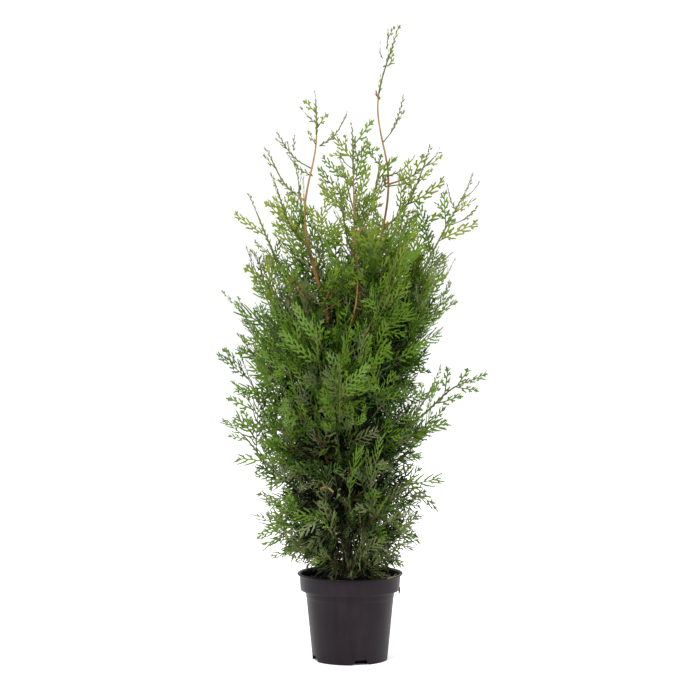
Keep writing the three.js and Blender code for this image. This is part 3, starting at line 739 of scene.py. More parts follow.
def frond_template(rng, size, habit):
    """One flat frond, twice branched, in its own plane: u along the rib, w aside, z out of it. Branchlets
    leave the rib alternately, longest at a third of the way, and bend forwards. Each carries short
    segments, alternately too, that get shorter towards its end. Returns the corners of its slivers and of
    its darts, each with how near the frond's edge every one is, from 0 to 1."""
    count = max(4, int(size * 0.88 / habit["spacing"]))
    i = np.arange(count)
    share = 0.06 + 0.86 * (i + rng.uniform(0.3, 0.7, count)) / count
    side = np.where(i % 2, 1.0, -1.0)
    shape = np.interp(share, [0, 0.14, 0.32, 0.62, 0.86, 1], [0.6, 0.9, 1, 0.86, 0.6, 0.36])
    least, more = habit["reach"]
    reach = (least + more * size) * shape * rng.uniform(0.82, 1.15, count)
    angle = np.radians(np.interp(share, [0, 1], [60, 40]) + rng.normal(0, 3, count))
    slope = rng.normal(0, 0.1, count)

    def on_branchlet(gone):
        """The place on each branchlet at a distance from the rib."""
        part = gone / reach[:, None]
        u = (size * share)[:, None] + gone * np.cos(angle)[:, None] * (1 + 0.4 * part)
        w = side[:, None] * gone * np.sin(angle)[:, None] * (1 - 0.28 * part)
        return np.stack([u, w, slope[:, None] * gone], -1)

    strips, strip_edge = [], []

    def aside_of(base, end):
        """The level direction to the left of each way."""
        way = end - base
        return unit(np.stack([-way[:, 1], way[:, 0], np.zeros(len(way))], -1))

    def grow(base, end, half, half_end, near):
        strips.append(slivers(base, end, aside_of(base, end), half, half_end, 0.5))
        strip_edge.append(near)

    # the branchlets themselves, in two lengths
    half = np.full(count, habit["half_width"])
    base, bend, end = (on_branchlet(reach[:, None] * part)[:, 0] for part in (0, 0.52, 1))
    grow(base, bend, half * 0.75, half, 0.6 * share + 0.2)
    grow(lerp(base, bend, 0.93), end, half * 0.95, half * 0.55, 0.6 * share + 0.4)
    # their segments
    gap = habit["gap"]
    step = np.arange(int(reach.max() / gap) + 1)
    gone = 3.0 + (step + rng.uniform(-0.15, 0.15, (count, len(step)))) * gap
    keep = gone < reach[:, None] - 2
    base = on_branchlet(gone)
    part = np.clip(gone / reach[:, None], 0, 1)
    long = habit["segment"] * np.interp(part, [0, 0.2, 0.7, 1], [0.7, 1, 0.8, 0.55])
    long = long * rng.uniform(0.75, 1.2, gone.shape)
    hand = np.where((step + (side[:, None] > 0)) % 2, 1.0, -1.0)
    way = side[:, None] * angle[:, None] * 0.84 + hand * math.radians(habit["lean"])
    rise = rng.normal(0, 0.12, gone.shape)
    end = base + np.stack([np.cos(way), np.sin(way), rise], -1) * long[..., None]
    half = np.full(gone.shape, habit["half_width"])
    near = (0.6 * share)[:, None] + 0.4 * part
    base, end, half = base[keep], end[keep], half[keep]
    teeth = darts(base, end, aside_of(base, end), half, 0.5)
    # the rib, and its last segments
    runs = 5 if size > 60 else 3
    marks = np.linspace(0.1, 1, runs + 1)
    still = np.zeros(runs)
    base = np.stack([marks[:-1] * size - 0.5, still, still], -1)
    end = np.stack([marks[1:] * size + 0.5, still, still], -1)
    wide = np.interp(marks, [0, 0.85, 1], [1.2, 0.9, 0.5])
    grow(base, end, wide[:-1], wide[1:], marks[1:] * 0.8)
    last = np.array([0.8, 0.87, 0.93])
    base = np.stack([last * size, np.zeros(3), np.zeros(3)], -1)
    hand = np.array([1, -1, 1]) * math.radians(habit["lean"])
    end = base + np.stack([np.cos(hand), np.sin(hand), np.zeros(3)], -1) * np.array([[8], [7], [5.5]])
    grow(base, end, np.full(3, 1.0), np.full(3, 0.6), np.full(3, 0.95))
    return (np.concatenate(strips), np.concatenate(strip_edge)), (teeth, near[keep])


rng = np.random.default_rng(31)
size_class = np.argmin(np.abs(np.log(length[:, None] / CLASSES)), axis=1)
frond_height = middle[:, 2]
out = out_share(middle)
lush = np.array([mass["lush"] for mass in everyone])[mass_of]
open_chance = np.maximum(
    np.interp(out, [0.6, 1], [0.05, 0.75]), np.interp(frond_height, [580, 760], [0, 0.95])
)
habit = np.where(rng.uniform(size=len(length)) < open_chance, OPEN, DENSE)
habit[on_leader[mass_of] & ((lush < 0.6) | (mass_of >= len(masses)))] = SPARSE
habit[(out > 0.94) & (frond_height > 330)] = OPEN
habit[(frond_height < 430) & (rng.uniform(size=len(length)) < 0.75)] = COMB
variant = habit * VARIANTS + rng.integers(0, VARIANTS, len(length))

# ---- Colours of the foliage: painted light and shade dealt out by frond, and from its heart to its edge ----

# The first five kinds are steps of lightness, which are painted light and shade: fronds inside the crown and
# low down are painted dark as shade, and fronds at the crown's edge and high up are painted lighter as lit.
# Young growth at the top is yellow green, and some fronds show their paler grey-green backs. The ends of the
# outermost sprays are painted grey green for the glare of the white backdrop round them. The last two kinds
# stand in for some of the first five.
KINDS = [
    ("shade", "#0b1503"), ("deep", "#2c4808"), ("leaf", "#4e6b12"), ("fresh_lit", "#63761a"),
    ("lime_lit", "#6f782b"), ("grey", "#5b663e"), ("soft", "#527024"),
]
GREY, SOFT = 5, 6
# Painted light and shade: a frond is lighter the farther out it stands, higher up it counts as far out, and
# it is a little lighter with height all the way up, as if light reached the crown's edge and top and fell
# off inside. A random spread comes on top.
high = (frond_height - 160) / 900
lit_share = np.interp(frond_height, [540, 660, 760, 900], [0.3, 0.62, 0.78, 0.9])
lit_share = np.maximum(np.clip(out, 0, 1.05), lit_share)
painted_light_tone = -0.46 + 1.04 * lit_share + 0.3 * high + rng.normal(0, 0.14, len(length))
# The painted light is held down below the top, the painted shade is deepened low down, and fronds far out or
# high up are kept out of the darkest painted shade.
painted_light_tone = np.minimum(painted_light_tone, np.interp(frond_height, [560, 700, 840, 900], [0.66, 0.79, 0.9, 0.72]))
painted_light_tone -= np.interp(frond_height, [160, 240, 320, 460], [0.14, 0.06, 0.07, 0])
painted_light_tone = np.maximum(painted_light_tone, np.where(frond_height > 280, np.interp(out, [0.7, 0.92], [-0.6, 0.27]), -1))
painted_light_tone = np.maximum(painted_light_tone, np.interp(frond_height, [500, 620, 700], [-0.6, 0.2, 0.3]))
yellow = rng.uniform(size=len(length)) < np.interp(frond_height, [600, 740], [0.02, 0.92])
backs = rng.uniform(size=len(length)) < np.interp(high, [0, 0.1, 0.4, 1], [0.55, 0.34, 0.1, 0.03])

bodies = {(name, shape): [] for name, _ in KINDS for shape in (0, 1)}
used = {name: set() for name, _ in KINDS}
for number, size in enumerate(CLASSES):
    for which in range(len(HABITS) * VARIANTS):
        mine = np.flatnonzero((size_class == number) & (variant == which))
        shapes = frond_template(rng, size, HABITS[which // VARIANTS])
        if not len(mine):
            continue
        spot = {key: value[mine] for key, value in lie.items()}
        for shape, (corners, edge) in enumerate(shapes):
            u, w, z = np.moveaxis(corners.reshape(-1, 3)[None] * (length[mine] / size)[:, None, None], -1, 0)
            leaves = placed(u, w, z, spot).reshape(len(mine), -1, corners.shape[1], 3)
            stray = rng.normal(0, 0.03, (len(mine), len(edge)))
            # Lighter towards each frond's edge and darker in its heart: painted highlight on the edges,
            # painted shade in the heart.
            shade = painted_light_tone[mine][:, None] + 0.22 * (edge[None] - 0.45) + stray
            kind = np.clip((shade * 5).astype(int), 0, 4)
            kind = np.where((kind > 2) & ~yellow[mine][:, None], SOFT, kind)
            kind = np.where(backs[mine][:, None] & (kind < 3), GREY, kind)
            # The ends of the outermost sprays are painted grey green for the glare of the white backdrop
            # round them.
            ends = (out[mine] > 0.85)[:, None] & (edge > 0.72)[None] & (rng.uniform(size=kind.shape) < 0.4)
            kind = np.where(ends, GREY, kind)
            for k, (name, _) in enumerate(KINDS):
                bodies[name, shape].append(leaves[kind == k])
                used[name] |= set(mass_of[mine[(kind == k).any(1)]].tolist())


# ---- Materials ----


def surface(name, roughness, specular=0.5, ior=1.5):
    """An empty material with its output and shader."""
    made = bpy.data.materials.new(name)
    made.use_nodes = True
    tree = made.node_tree
    tree.nodes.clear()
    shader = add(tree, "ShaderNodeBsdfPrincipled", {
        "Roughness": roughness, "Specular IOR Level": specular, "IOR": ior,
    })
    add(tree, "ShaderNodeOutputMaterial", {"Surface": shader.outputs["BSDF"]})
    return made, tree, shader


def scale_leaf(kind, colour):
    """Thuja foliage: tiny waxy scales pressed over each other along flat twigs. The wax gives a soft satin
    sheen over a plain green, and the scales, about 1.5 mm long, break it up with a fine relief."""
    made, tree, shader = surface(f"thuja_scale_leaf_{kind}", 0.6, specular=0.2, ior=1.45)
    shader.inputs["Base Color"].default_value = linear(colour)
    place = add(tree, "ShaderNodeTexCoord", {}).outputs["Object"]
    scales = add(tree, "ShaderNodeTexVoronoi", {"Vector": place, "Scale": 650.0})
    bump = add(tree, "ShaderNodeBump", {
        "Height": scales.outputs["Distance"], "Strength": 0.25, "Distance": 0.0004,
    })
    tree.links.new(bump.outputs["Normal"], shader.inputs["Normal"])
    return made


def fibrous_bark(name, dark, light, strip_width, roughness=0.88):
    """Thuja bark: thin fibrous strips that run along the stem and fray. It looks matt and streaked
    lengthwise, with darker furrows between paler strips. strip_width is in millimetres."""
    made, tree, shader = surface(name, roughness, specular=0.3)
    place = add(tree, "ShaderNodeTexCoord", {}).outputs["Object"]
    across, along = 1000 / strip_width, 90 / strip_width
    drawn_out = add(tree, "ShaderNodeMapping", {"Vector": place, "Scale": (across, across, along)})
    strips = add(tree, "ShaderNodeTexNoise", {
        "Vector": drawn_out.outputs["Vector"], "Scale": 1.0, "Detail": 6.0, "Roughness": 0.62,
    })
    patches = add(tree, "ShaderNodeTexNoise", {"Vector": place, "Scale": 38.0, "Detail": 3.0})
    spread = add(tree, "ShaderNodeMapRange", {
        "Value": strips.outputs["Fac"], "From Min": 0.36, "From Max": 0.66,
    })
    uneven = add(tree, "ShaderNodeMath", {
        0: spread.outputs["Result"], 1: patches.outputs["Fac"],
    }, operation="MULTIPLY")
    wide = add(tree, "ShaderNodeMath", {0: uneven.outputs[0], 1: 1.7}, operation="MULTIPLY", use_clamp=True)
    colour = add(tree, "ShaderNodeMix", {
        0: wide.outputs[0], 6: linear(dark), 7: linear(light),
    }, data_type="RGBA")
    tree.links.new(colour.outputs[2], shader.inputs["Base Color"])
    bump = add(tree, "ShaderNodeBump", {
        "Height": strips.outputs["Fac"], "Strength": 0.6, "Distance": 0.0006,
    })
    tree.links.new(bump.outputs["Normal"], shader.inputs["Normal"])
    return made


TREE_BARK = fibrous_bark("thuja_bark_fibrous_grey_brown", "#1f1813", "#53443a", 2.2)
YOUNG_BARK = fibrous_bark("thuja_young_bark_orange_brown", "#664a26", "#ab8049", 1.4, 0.7)
RED_BARK = fibrous_bark("thuja_young_bark_red_brown", "#32251a", "#664b34", 1.4, 0.7)
TWIG_BARK = fibrous_bark("thuja_twig_bark_olive_brown", "#453a1c", "#7a6c38", 1.0, 0.7)

# ---- Scales on the stems' green ends ----

GREEN_FROM = dict(leader=0.4, bough=0.3)


def green_share(mass):
    """The share of a mass's stem where its brown bark gives way to green scales."""
    if "size" in mass:
        return 0.02
    if mass["limb"] == "fine":
        return 0.35 * mass["end"]
    if mass["shoot"]:
        foot = mass["curve"].line[0, 2]
        brown = np.interp(foot, [200, 400, 560, 700], [0.85, 0.5, 0.5, 0.22])
        return lerp(mass["start"], mass["end"], brown)
    kind = "leader" if "leader" in mass["name"] else "bough"
    return lerp(mass["start"], mass["end"], GREEN_FROM[kind])


def stem_scales(mass, rng):
    """Short side scales that leave a stem's green end alternately, 5 mm apart, in a plane that turns
    slowly."""
    first = green_share(mass)
    count = max(4, int(mass["curve"].length * (0.985 - first) / 5))
    i = np.arange(count)
    shares = lerp(first, 0.985, i / count)
    centre, tangent, normal, across = mass["curve"].frames(shares)
    turn = rng.uniform(0, 2 * np.pi) + (i % 2) * np.pi + i // 2 * 0.35
    outwards = normal * np.cos(turn)[:, None] + across * np.sin(turn)[:, None]
    lean = np.radians(rng.uniform(24, 38, count))[:, None]
    way = tangent * np.cos(lean) + outwards * np.sin(lean)
    long = rng.uniform(5.5, 9.5, count) * lerp(1, 0.75, i / count)
    base = centre + outwards * 0.3
    aside = unit(np.cross(way, np.cross(tangent, outwards)))
    return slivers(base, base + way * long[:, None], aside, np.full(count, 1.35), np.full(count, 0.8), 0.6)


rng = np.random.default_rng(43)
for number, mass in enumerate(everyone):
    if number >= len(masses) and "size" not in mass:
        continue
    where = "grey" if mass["curve"].line[-1, 2] > 900 else "leaf"
    bodies[where, 0].append(stem_scales(mass, rng))
    used[where].add(number)

# ---- Foliage pieces ----

MOST_FACES = 190000  # so that a piece stays under 200,000


def leaf_piece(name, strips, teeth, material, slot, nodes):
    """A piece made of slivers and darts."""
    points = np.concatenate([strips.reshape(-1, 3), teeth.reshape(-1, 3)])
    strip_faces = (np.arange(len(strips))[:, None, None] * 5 + SLIVER_FACES).reshape(-1, 3)
    tooth_faces = (np.arange(len(teeth))[:, None, None] * 4 + DART_FACES).reshape(-1, 3) + strips.size // 3
    piece(name, points, [strip_faces, tooth_faces], material, slot, nodes, smooth=False)


for name, colour in KINDS:
    both = [np.concatenate(bodies[name, shape]) for shape in (0, 1)]
    parts = math.ceil((len(both[0]) * 6 + len(both[1]) * 4) / MOST_FACES)
    shares = [np.array_split(np.argsort(a[:, 0, 2], kind="stable"), parts) for a in both]
    material = scale_leaf(name, colour)
    nodes = sorted({everyone[m]["name"] for m in used[name]})
    for part in range(parts):
        label = f"foliage_{name}" + (f"_{part + 1}" if parts > 1 else "")
        strips, teeth = (a[order[part]] for a, order in zip(both, shares))
        leaf_piece(label, strips, teeth, material, "foliage", nodes)

# ---- Wood ----


def wood(curve, width, start, stop, sides, step, rng, relief, base_swell=0.0):
    """A limb's skin: rings about step apart, as wide as the limb there, with a collar where it leaves its
    carrier, and lengthwise ridges of bark about as high as relief."""
    rows = max(8, int(curve.length * (stop - start) / step))
    shares = np.linspace(start, stop, rows)
    down = (shares - start) / (stop - start)
    gone = (shares - start) * curve.length
    round_ = np.arange(sides) / sides
    d, r = np.meshgrid(down, round_, indexing="ij")
    plain = width(shares) * (1 + base_swell * np.exp(-np.maximum(gone - 8, 0) / 7))
    long_cells = max(2, int(curve.length / 26))
    ridges = knots(rng, d, r, (long_cells, max(4, sides // 3)))
    ridges = ridges + 0.6 * knots(rng, d, r, (long_cells * 3, sides // 2))
    lumps = knots(rng, d, r, (max(2, int(curve.length / 45)), 3))
    radius = plain[:, None] * (1 + 0.07 * lumps) + relief * ridges * np.minimum(1, plain[:, None] / 4)
    return tube(curve, shares, radius)


def narrowed(width, shares, factors):
    """A limb's width, times factors that hold at some shares of its way."""
    return lambda share: width(share) * np.interp(share, shares, factors)


def rod(line, wide, narrow, turns=8, steps=12):
    """A plain round twig along a line, from wide at its foot to narrow at its end."""
    shares = np.linspace(0, 1, steps)
    return tube(Curve(line), shares, lerp(wide, narrow, shares)[:, None] * np.ones(turns))


rng = np.random.default_rng(47)
low = np.interp(GROUND - 5, trunk_curve.line[:, 2], trunk_curve.share)
rows, sides = 300, 48
shares = lerp(low, 1, np.linspace(0, 1, rows) ** 1.15)
height = trunk_curve.at(shares)[:, 2] - GROUND
d, r = np.meshgrid(shares, np.arange(sides) / sides, indexing="ij")
flare = np.exp(-np.maximum(height, 0) / TRUNK["flare_height"])[:, None]
lobes = 1 + TRUNK["lobe_depth"] * flare * np.cos(TRUNK["flare_lobes"] * 2 * np.pi * r)
plain = lerp(TRUNK["foot_radius"], TRUNK["fork_radius"], shares)[:, None]
radius = (plain + (TRUNK["flare_radius"] - TRUNK["foot_radius"]) * flare) * lobes
ridges = 0.36 * knots(rng, d, r, (22, 13)) + 0.26 * knots(rng, d, r, (60, 25))
ridges = ridges + 0.14 * knots(rng, d, r, (150, 36))
radius = radius * (1 + 0.05 * knots(rng, d, r, (9, 4))) + ridges * 1.2
piece("trunk_bark", *tube(trunk_curve, shares, radius), TREE_BARK, "bark", ["trunk"])

for limb in limbs:
    slim = narrowed(limb["width"], [0.05, 0.4, 1], [1, 0.8, 0.6])
    skinned = wood(limb["curve"], slim, 0, green_share(limb["masses"][0]), 14, 3.2, rng, 0.22, 0.3)
    bark = RED_BARK if "low" in limb["name"] or "front" in limb["name"] else YOUNG_BARK
    piece(limb["name"] + "_wood", *skinned, bark, "young_wood", [limb["name"]])

green = []
for mass in everyone:
    first = green_share(mass)
    slim = narrowed(mass["width"], [first, 1], [1, 0.7])
    green.append(wood(mass["curve"], slim, first - 0.006, mass["end"], 6, 9, rng, 0.08))
piece("green_stems", *joined(green), scale_leaf("stem", "#535c2b"), "foliage", [])

for name, bark, high_up in (("side_shoots", RED_BARK, False), ("upper_side_shoots", YOUNG_BARK, True)):
    stems = [
        wood(m["curve"], m["width"], 0, green_share(m), 7, 7, rng, 0.12, 0.2)
        for m in everyone if m["shoot"] and (m["curve"].line[0, 2] > 560) == high_up
    ]
    piece(name, *joined(stems), bark, "young_wood", [])

# Cut stubs and short bare forks on the stems: their line, and how wide they are at both ends
STUBS = [
    ([[-44, -46, 648], [-38, -54, 660], [-36, -58, 672]], 2.2, 1.6),
    ([[-40, -52, 652], [-30, -60, 662], [-22, -64, 674]], 1.8, 1.3),
    ([[64, 26, 856], [60, 22, 862], [58, 18, 870]], 2.2, 1.2),
    ([[54, 24, 1008], [49, 20, 1014], [46, 17, 1022]], 1.6, 1.0),
    ([[-52, -84, 318], [-40, -98, 322], [-29, -108, 315]], 1.9, 1.6),
    ([[-20, -10, 560], [-6, -66, 588], [10, -84, 640], [14, -88, 690]], 2.4, 1.3),
]
piece("cut_stubs", *joined([rod(*stub) for stub in STUBS]), YOUNG_BARK, "young_wood", [])
low_stem = [[4, -40, 166], [12, -70, 198], [20, -82, 226], [15, -88, 290]]
piece("low_front_stem", *rod(low_stem, 1.5, 0.8), TWIG_BARK, "young_wood", [])

# The brown foot of each frond's rib: a three-sided twig of three rings.
count = len(length)
along_rib = np.array([0, 0.16, 0.38])
thin = np.array([1.0, 0.85, 0.5])
turn = np.radians([0, 120, 240])
rings = [along_rib[:, None], thin[:, None] * np.cos(turn), thin[:, None] * np.sin(turn)]
rings = np.stack(np.broadcast_arrays(*rings), -1).reshape(-1, 3)
local = np.concatenate([rings, [[0, 0, 0], [0.38, 0, 0]]])
u = local[None, :, 0] * length[:, None]
w, z = (np.broadcast_to(local[None, :, i], (count, len(local))) for i in (1, 2))
points = placed(u, w, z, lie)
first_corner = (np.arange(count) * len(local))[:, None, None]
faces = [(f + first_corner).reshape(-1, f.shape[1]) for f in skin(3, 3)]
piece("twigs", points.reshape(-1, 3), faces, TWIG_BARK, "young_wood", [m["name"] for m in masses])

# ---- Pot ----


def moulded_plastic():
    """Dark grey recycled polypropylene, injection moulded: an even satin skin, glossier at a glancing look,
    with the mould's fine grain, faint flow streaks down the wall, and dry dust on it. The lip is nearly
    black, and the inside of the collar is painted nearly black as shade."""
    made, tree, shader = surface("polypropylene_moulded_dark_grey", 0.36, 0.13, 1.49)
    place = add(tree, "ShaderNodeTexCoord", {}).outputs["Object"]
    grain = add(tree, "ShaderNodeTexNoise", {"Vector": place, "Scale": 900.0, "Detail": 2.0})
    clouds = add(tree, "ShaderNodeTexNoise", {"Vector": place, "Scale": 16.0, "Detail": 4.0})
    drawn_down = add(tree, "ShaderNodeMapping", {"Vector": place, "Scale": (70.0, 70.0, 5.0)})
    streaks = add(tree, "ShaderNodeTexNoise", {
        "Vector": drawn_down.outputs["Vector"], "Scale": 1.0, "Detail": 5.0,
    })
    both = add(tree, "ShaderNodeMath", {
        0: clouds.outputs["Fac"], 1: streaks.outputs["Fac"],
    }, operation="MULTIPLY")
    worn = add(tree, "ShaderNodeMapRange", {"Value": both.outputs[0], "From Min": 0.14, "From Max": 0.42})
    wall = add(tree, "ShaderNodeMix", {
        0: worn.outputs["Result"], 6: linear("#150e13"), 7: linear("#21191e"),
    }, data_type="RGBA")
    # The lip is told by its height, and the collar's inside, which is painted nearly black as shade, by
    # height and distance from the axis, in metres.
    height = add(tree, "ShaderNodeSeparateXYZ", {"Vector": place})
    on_lip = add(tree, "ShaderNodeMapRange", {
        "Value": height.outputs["Z"], "From Min": 0.1525, "From Max": 0.154,
    })
    flat = add(tree, "ShaderNodeVectorMath", {0: place, 1: (1.0, 1.0, 0.0)}, operation="MULTIPLY")
    out = add(tree, "ShaderNodeVectorMath", {0: flat.outputs["Vector"]}, operation="LENGTH")
    inside = add(tree, "ShaderNodeMapRange", {
        "Value": out.outputs["Value"], "From Min": 0.0885, "From Max": 0.0892, "To Min": 1.0, "To Max": 0.0,
    })
    upper = add(tree, "ShaderNodeMapRange", {
        "Value": height.outputs["Z"], "From Min": 0.1275, "From Max": 0.129,
    })
    within = add(tree, "ShaderNodeMath", {
        0: inside.outputs["Result"], 1: upper.outputs["Result"]}, operation="MULTIPLY")
    # Nearly black on the lip, and painted shade, nearly black, on the inside of the collar.
    black_lip_and_painted_shade = add(tree, "ShaderNodeMath", {
        0: within.outputs[0], 1: on_lip.outputs["Result"]}, operation="MAXIMUM")
    colour = add(tree, "ShaderNodeMix", {
        0: black_lip_and_painted_shade.outputs[0], 6: wall.outputs[2], 7: linear("#040304"),
    }, data_type="RGBA")
    tree.links.new(colour.outputs[2], shader.inputs["Base Color"])
    rough = add(tree, "ShaderNodeMapRange", {
        "Value": worn.outputs["Result"], "To Min": 0.34, "To Max": 0.5,
    })
    tree.links.new(rough.outputs["Result"], shader.inputs["Roughness"])
    bump = add(tree, "ShaderNodeBump", {
        "Height": grain.outputs["Fac"], "Strength": 0.12, "Distance": 0.0003,
    })
    tree.links.new(bump.outputs["Normal"], shader.inputs["Normal"])
    return made


def revolved(radius, height):
    """A closed skin from rows of radii and heights at even turns, or one for each turn, with a pole at
    each end."""
    turns = radius.shape[1]
    return np.vstack([
        np.stack([radius * np.cos(POT_TURNS), radius * np.sin(POT_TURNS), height], -1).reshape(-1, 3),
        [[0, 0, height[0].mean()], [0, 0, height[-1].mean()]],
    ]), skin(len(radius), turns)


def notch_height(turn):
    """How high the drain notches reach at some turns: a trapezoid at each of the places round the foot."""
    apart = 2 * np.pi / DRAIN["count"]
    off = (turn - math.radians(DRAIN["first_turn"]) + apart / 2) % apart - apart / 2
    arc = np.abs(off) * POT["foot_radius"]
    slope = (DRAIN["base_width"] - DRAIN["top_width"]) / 2
    return DRAIN["height"] * np.clip((DRAIN["base_width"] / 2 - arc) / slope, 0, 1)


half_turns = np.array([DRAIN["base_width"], DRAIN["top_width"]]) / 2 / POT["foot_radius"]
corners_at = np.array([-1, 1])[:, None] * half_turns
starts_at = math.radians(DRAIN["first_turn"]) + np.arange(DRAIN["count"]) * 2 * np.pi / DRAIN["count"]
even = np.linspace(0, 2 * np.pi, 240, endpoint=False)
POT_TURNS = np.unique(np.round(np.concatenate([
    even, ((starts_at[:, None] + corners_at.ravel()) % (2 * np.pi)).ravel()]), 6))

# The pot's outline from the middle of its underside round to the middle of its floor, as (radius, height).
collar_low = POT["collar_radius"] - POT["collar_draft"]
under = [
    (6, 0), (30, 0), (48.6, 0), (49.7, 0.4), (50.1, 1.4), (51.9, 8.2), (52.5, 9.2), (53.6, 9.5),
    (64, 9.5), (65.1, 9.2), (65.5, 8.2), (65.5, 4), (65.5, 0.9), (65.9, 0.15), (66.6, 0), (67.2, 0.3),
]
ledge = 113  # where the pots below stop when they are stacked
outside = [
    (67.55, 1.2), (68.4, 9), (69.3, 18), (71, 36), (72.8, 54), (74.7, 73), (76.5, 91), (78.4, 110),
    (78.55, ledge - 0.8), (79.15, ledge), (79.5, ledge + 4), (80.3, 123.2), (80.7, 124.4), (81.6, 124.9),
    (85.2, 125.1), (87.3, 125.35), (88.6, 126), (collar_low + 0.15, 127.4), (collar_low + 0.4, 131),
    (90.1, 140), (90.8, 150), (90.95, 152.4), (91.4, 153.2), (92.6, 153.45), (93.9, 153.6), (94.65, 154.1),
    (95, 155), (94.9, 156), (94.3, 156.75), (93.3, 157), (91.4, 156.95), (89.9, 156.4), (89.15, 155.2),
]
inside = [
    (88.9, 152), (88.3, 142), (87.5, 131), (86.9, 128.4), (85.4, 127.4), (80.2, 126.6), (78.8, 125.4),
    (78.3, 121), (74.2, 80), (70, 40), (66.9, 13), (66.3, 11.6), (64.9, 11.5), (52, 11.5), (49.6, 10.6),
    (48.4, 3), (47.6, 2.1), (45, 2), (6, 2),
]
outline = np.array([*under, *outside, *inside], float)
radius = outline[:, :1] * np.ones(len(POT_TURNS))
height = outline[:, 1:] * np.ones(len(POT_TURNS))
cut = notch_height(POT_TURNS)[None]
ring_inside = slice(9, len(under))  # from the channel's roof down to the foot
height[ring_inside] = cut * (1 - height[ring_inside] / POT["channel"]) + height[ring_inside]
low_wall = slice(len(under), len(under) + 3)
height[low_wall] = cut * (1 - height[low_wall] / DRAIN["fade"]) + height[low_wall]
wall_line = np.array(outside[:8], float)
radius[low_wall] = np.interp(height[low_wall], wall_line[:, 1], wall_line[:, 0])
plastic = moulded_plastic()
piece("pot_shell", *revolved(radius, height), plastic, "pot", ["pot"], sharp=38)

# ---- Soil ----


def potting_soil(name, dark, light):
    """Moist peat and composted bark: nearly black crumbs with brown fibres, matt, damp enough for a dull
    glint."""
    made, tree, shader = surface(name, 0.9, 0.12)
    place = add(tree, "ShaderNodeTexCoord", {}).outputs["Object"]
    crumbs = add(tree, "ShaderNodeTexNoise", {"Vector": place, "Scale": 260.0, "Detail": 5.0})
    spread = add(tree, "ShaderNodeMapRange", {
        "Value": crumbs.outputs["Fac"], "From Min": 0.4, "From Max": 0.72,
    })
    colour = add(tree, "ShaderNodeMix", {
        0: spread.outputs["Result"], 6: linear(dark), 7: linear(light),
    }, data_type="RGBA")
    tree.links.new(colour.outputs[2], shader.inputs["Base Color"])
    bump = add(tree, "ShaderNodeBump", {
        "Height": crumbs.outputs["Fac"], "Strength": 0.8, "Distance": 0.001,
    })
    tree.links.new(bump.outputs["Normal"], shader.inputs["Normal"])
    return made


def mound_height(far):
    """The soil's even height at some distances from the pot's axis."""
    heights = [SOIL["crown"], SOIL["crown"], SOIL["edge"]]
    return np.interp(far, [0, SOIL["crown_radius"], SOIL_RADIUS], heights)


rng = np.random.default_rng(58)
rings, turns = 64, 168
d, r = np.meshgrid(np.linspace(0.02, 1, rings), np.arange(turns) / turns, indexing="ij")
far = d * SOIL_RADIUS
rough = 0.9 * knots(rng, d, r, (9, 14)) + 0.7 * knots(rng, d, r, (26, 60))
rough = rough + 0.45 * knots(rng, d, r, (60, 140))
top = mound_height(far) - 1.0 + rough * np.clip((1 - d) * 12 + 0.4, 0, 1)
# Below its top it fills the pot: rings on the floor, over the channel, up the wall and at the collar's foot
low_radius = np.array([6, 47, 66, 77.8, SOIL_RADIUS])[:, None] * np.ones(turns)
low_height = np.array([2.6, 2.6, 12.4, 126.2, 128.6])[:, None] * np.ones(turns)
soil_radius = np.vstack([low_radius, far[::-1]])
soil_height = np.vstack([low_height, top[::-1]])
soil_turn = np.arange(turns) / turns * 2 * np.pi
soil_points = np.stack([soil_radius * np.cos(soil_turn), soil_radius * np.sin(soil_turn), soil_height], -1)
poles = [[0, 0, 2.6], [0, 0, float(top[0].mean())]]
piece("soil_surface", np.vstack([soil_points.reshape(-1, 3), poles]), skin(len(soil_radius), turns),
      potting_soil("peat_compost_moist", "#070504", "#1c130d"), "soil", ["soil"])


def strewn(count, middle, spread, long, steep, half, rng):
    """Slivers strewn on the soil about a place, with lengths between two values, pointing up by some
    degrees."""
    x = middle[0] + rng.normal(0, spread[0], count)
    y = middle[1] + rng.normal(0, spread[1], count)
    keep = np.hypot(x, y) < SOIL_RADIUS - 6
    x, y = x[keep], y[keep]
    turn = rng.uniform(0, 2 * np.pi, len(x))
    up = np.radians(rng.uniform(*steep, len(x)))
    way = np.stack([np.cos(turn) * np.cos(up), np.sin(turn) * np.cos(up), np.sin(up)], -1)
    side = np.stack([-np.sin(turn), np.cos(turn), turn * 0], -1)
    base = np.stack([x, y, mound_height(np.hypot(x, y)) - 0.6 + rng.uniform(0, 0.8, len(x))], -1)
    end = base + way * rng.uniform(*long, len(x))[:, None]
    width = np.full(len(x), half)
    return slivers(base, end, side, width, width * 0.6, 0.6)


rng = np.random.default_rng(61)
no_teeth = np.empty((0, 4, 3))
leaf_piece("soil_litter", strewn(900, (0, 0), (46, 46), (3, 9), (0, 22), 1.0, rng), no_teeth,
           potting_soil("dry_thuja_scales_and_bark_crumbs", "#110b07", "#38271a"), "soil", ["soil"])
leaf_piece("moss_tuft", strewn(620, (62, -12), (11, 26), (5, 12), (10, 60), 0.7, rng), no_teeth,
           scale_leaf("moss", "#43421c"), "soil", ["soil"])

dry_line = [[30, -50, 149], [52, -62, 151], [74, -68, 158], [92, -70, 164]]
dry_parts = [rod(dry_line, 1.1, 0.5, 7, 24)]
for share, way in ((0.35, [10, 12, 4]), (0.55, [12, -10, 6]), (0.75, [8, 8, 5])):
    fork = Curve(dry_line).at(share)
    dry_parts.append(rod([fork, fork + np.array(way) * 0.5 + [0, 0, 1.5], fork + way], 0.6, 0.35, 5, 9))
dry_bark = fibrous_bark("dry_twig_weathered", "#4a4a30", "#8c8a62", 1.2, 0.8)
piece("dry_twig", *joined(dry_parts), dry_bark, "soil", ["soil"])

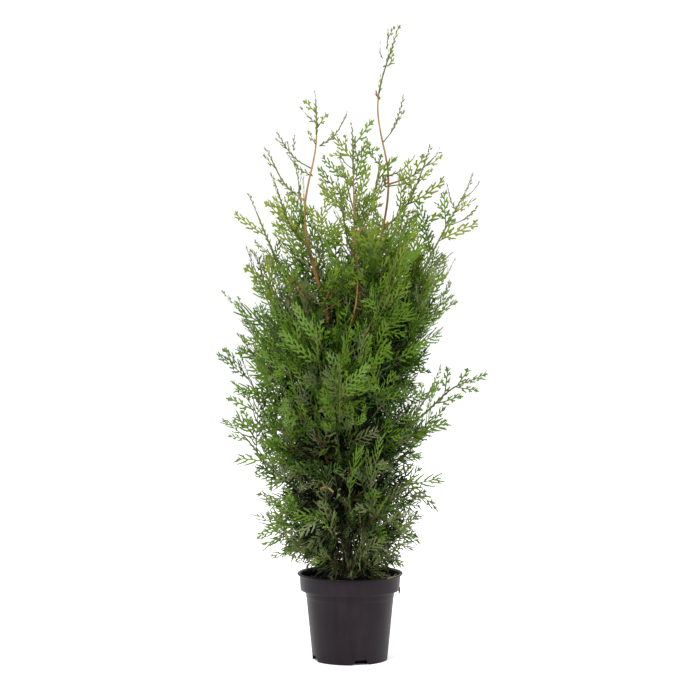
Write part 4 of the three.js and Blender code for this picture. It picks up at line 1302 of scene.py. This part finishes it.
# A burr of flash that hangs from the collar's foot
burr_line = Curve([[88.9, -7, 131], [88.7, -7.2, 124], [88.2, -7.6, 118.6]])
burr_shares = np.linspace(0, 1, 14)
burr_radius = np.interp(burr_shares, [0, 0.5, 0.9, 1], [1.8, 1.6, 1.2, 0.6])[:, None] * np.ones(10)
piece("rim_burr", *tube(burr_line, burr_shares, burr_radius), plastic, "pot", ["pot"])

# ---- Camera, light and floor ----

CAMERA = dict(distance=4.2, height=0.80, tilt=3.3, lens=120.8)
camera = bpy.data.objects.new("camera", bpy.data.cameras.new("camera"))
camera.data.lens = CAMERA["lens"]
camera.data.sensor_width = 36
camera.location = (0, -CAMERA["distance"], CAMERA["height"])
camera.rotation_euler = (math.radians(90 - CAMERA["tilt"]), 0, 0)
bpy.context.scene.collection.objects.link(camera)
bpy.context.scene.camera = camera
bpy.context.scene.view_settings.view_transform = "Standard"

floor_material, tree, shader = surface("floor_white_paint_matt", 0.9, 0.2)
shader.inputs["Base Color"].default_value = linear("#fbfbfb")
turn = np.radians(np.arange(0, 360, 3))
ring = np.stack([np.cos(turn), np.sin(turn), turn * 0], -1) * 60
floor_mesh = bpy.data.meshes.new("floor")
floor_mesh.from_pydata(ring.tolist(), [], [list(range(len(ring)))])
floor_mesh.materials.append(floor_material)
floor = bpy.data.objects.new("floor", floor_mesh)
bpy.context.scene.collection.objects.link(floor)


def soft_light(name, place, size, power):
    """A square soft box that faces the middle of the plant."""
    made = bpy.data.objects.new(name, bpy.data.lights.new(name, "AREA"))
    made.data.shape = "SQUARE"
    made.data.size = size
    made.data.energy = power
    made.location = place
    aim = Vector((0, 0, 0.6)) - Vector(place)
    made.rotation_euler = aim.to_track_quat("-Z", "Y").to_euler()
    bpy.context.scene.collection.objects.link(made)


soft_light("key_light", (-1.4, -2.2, 3.4), 1.2, 150)
soft_light("fill_light", (2.6, -1.6, 1.8), 2.0, 25)
soft_light("rim_light", (0.6, 2.8, 2.6), 1.6, 50)
world = bpy.data.worlds.new("studio")
bpy.context.scene.world = world
world.use_nodes = True
world.node_tree.nodes["Background"].inputs["Color"].default_value = (1, 1, 1, 1)
world.node_tree.nodes["Background"].inputs["Strength"].default_value = 1.08
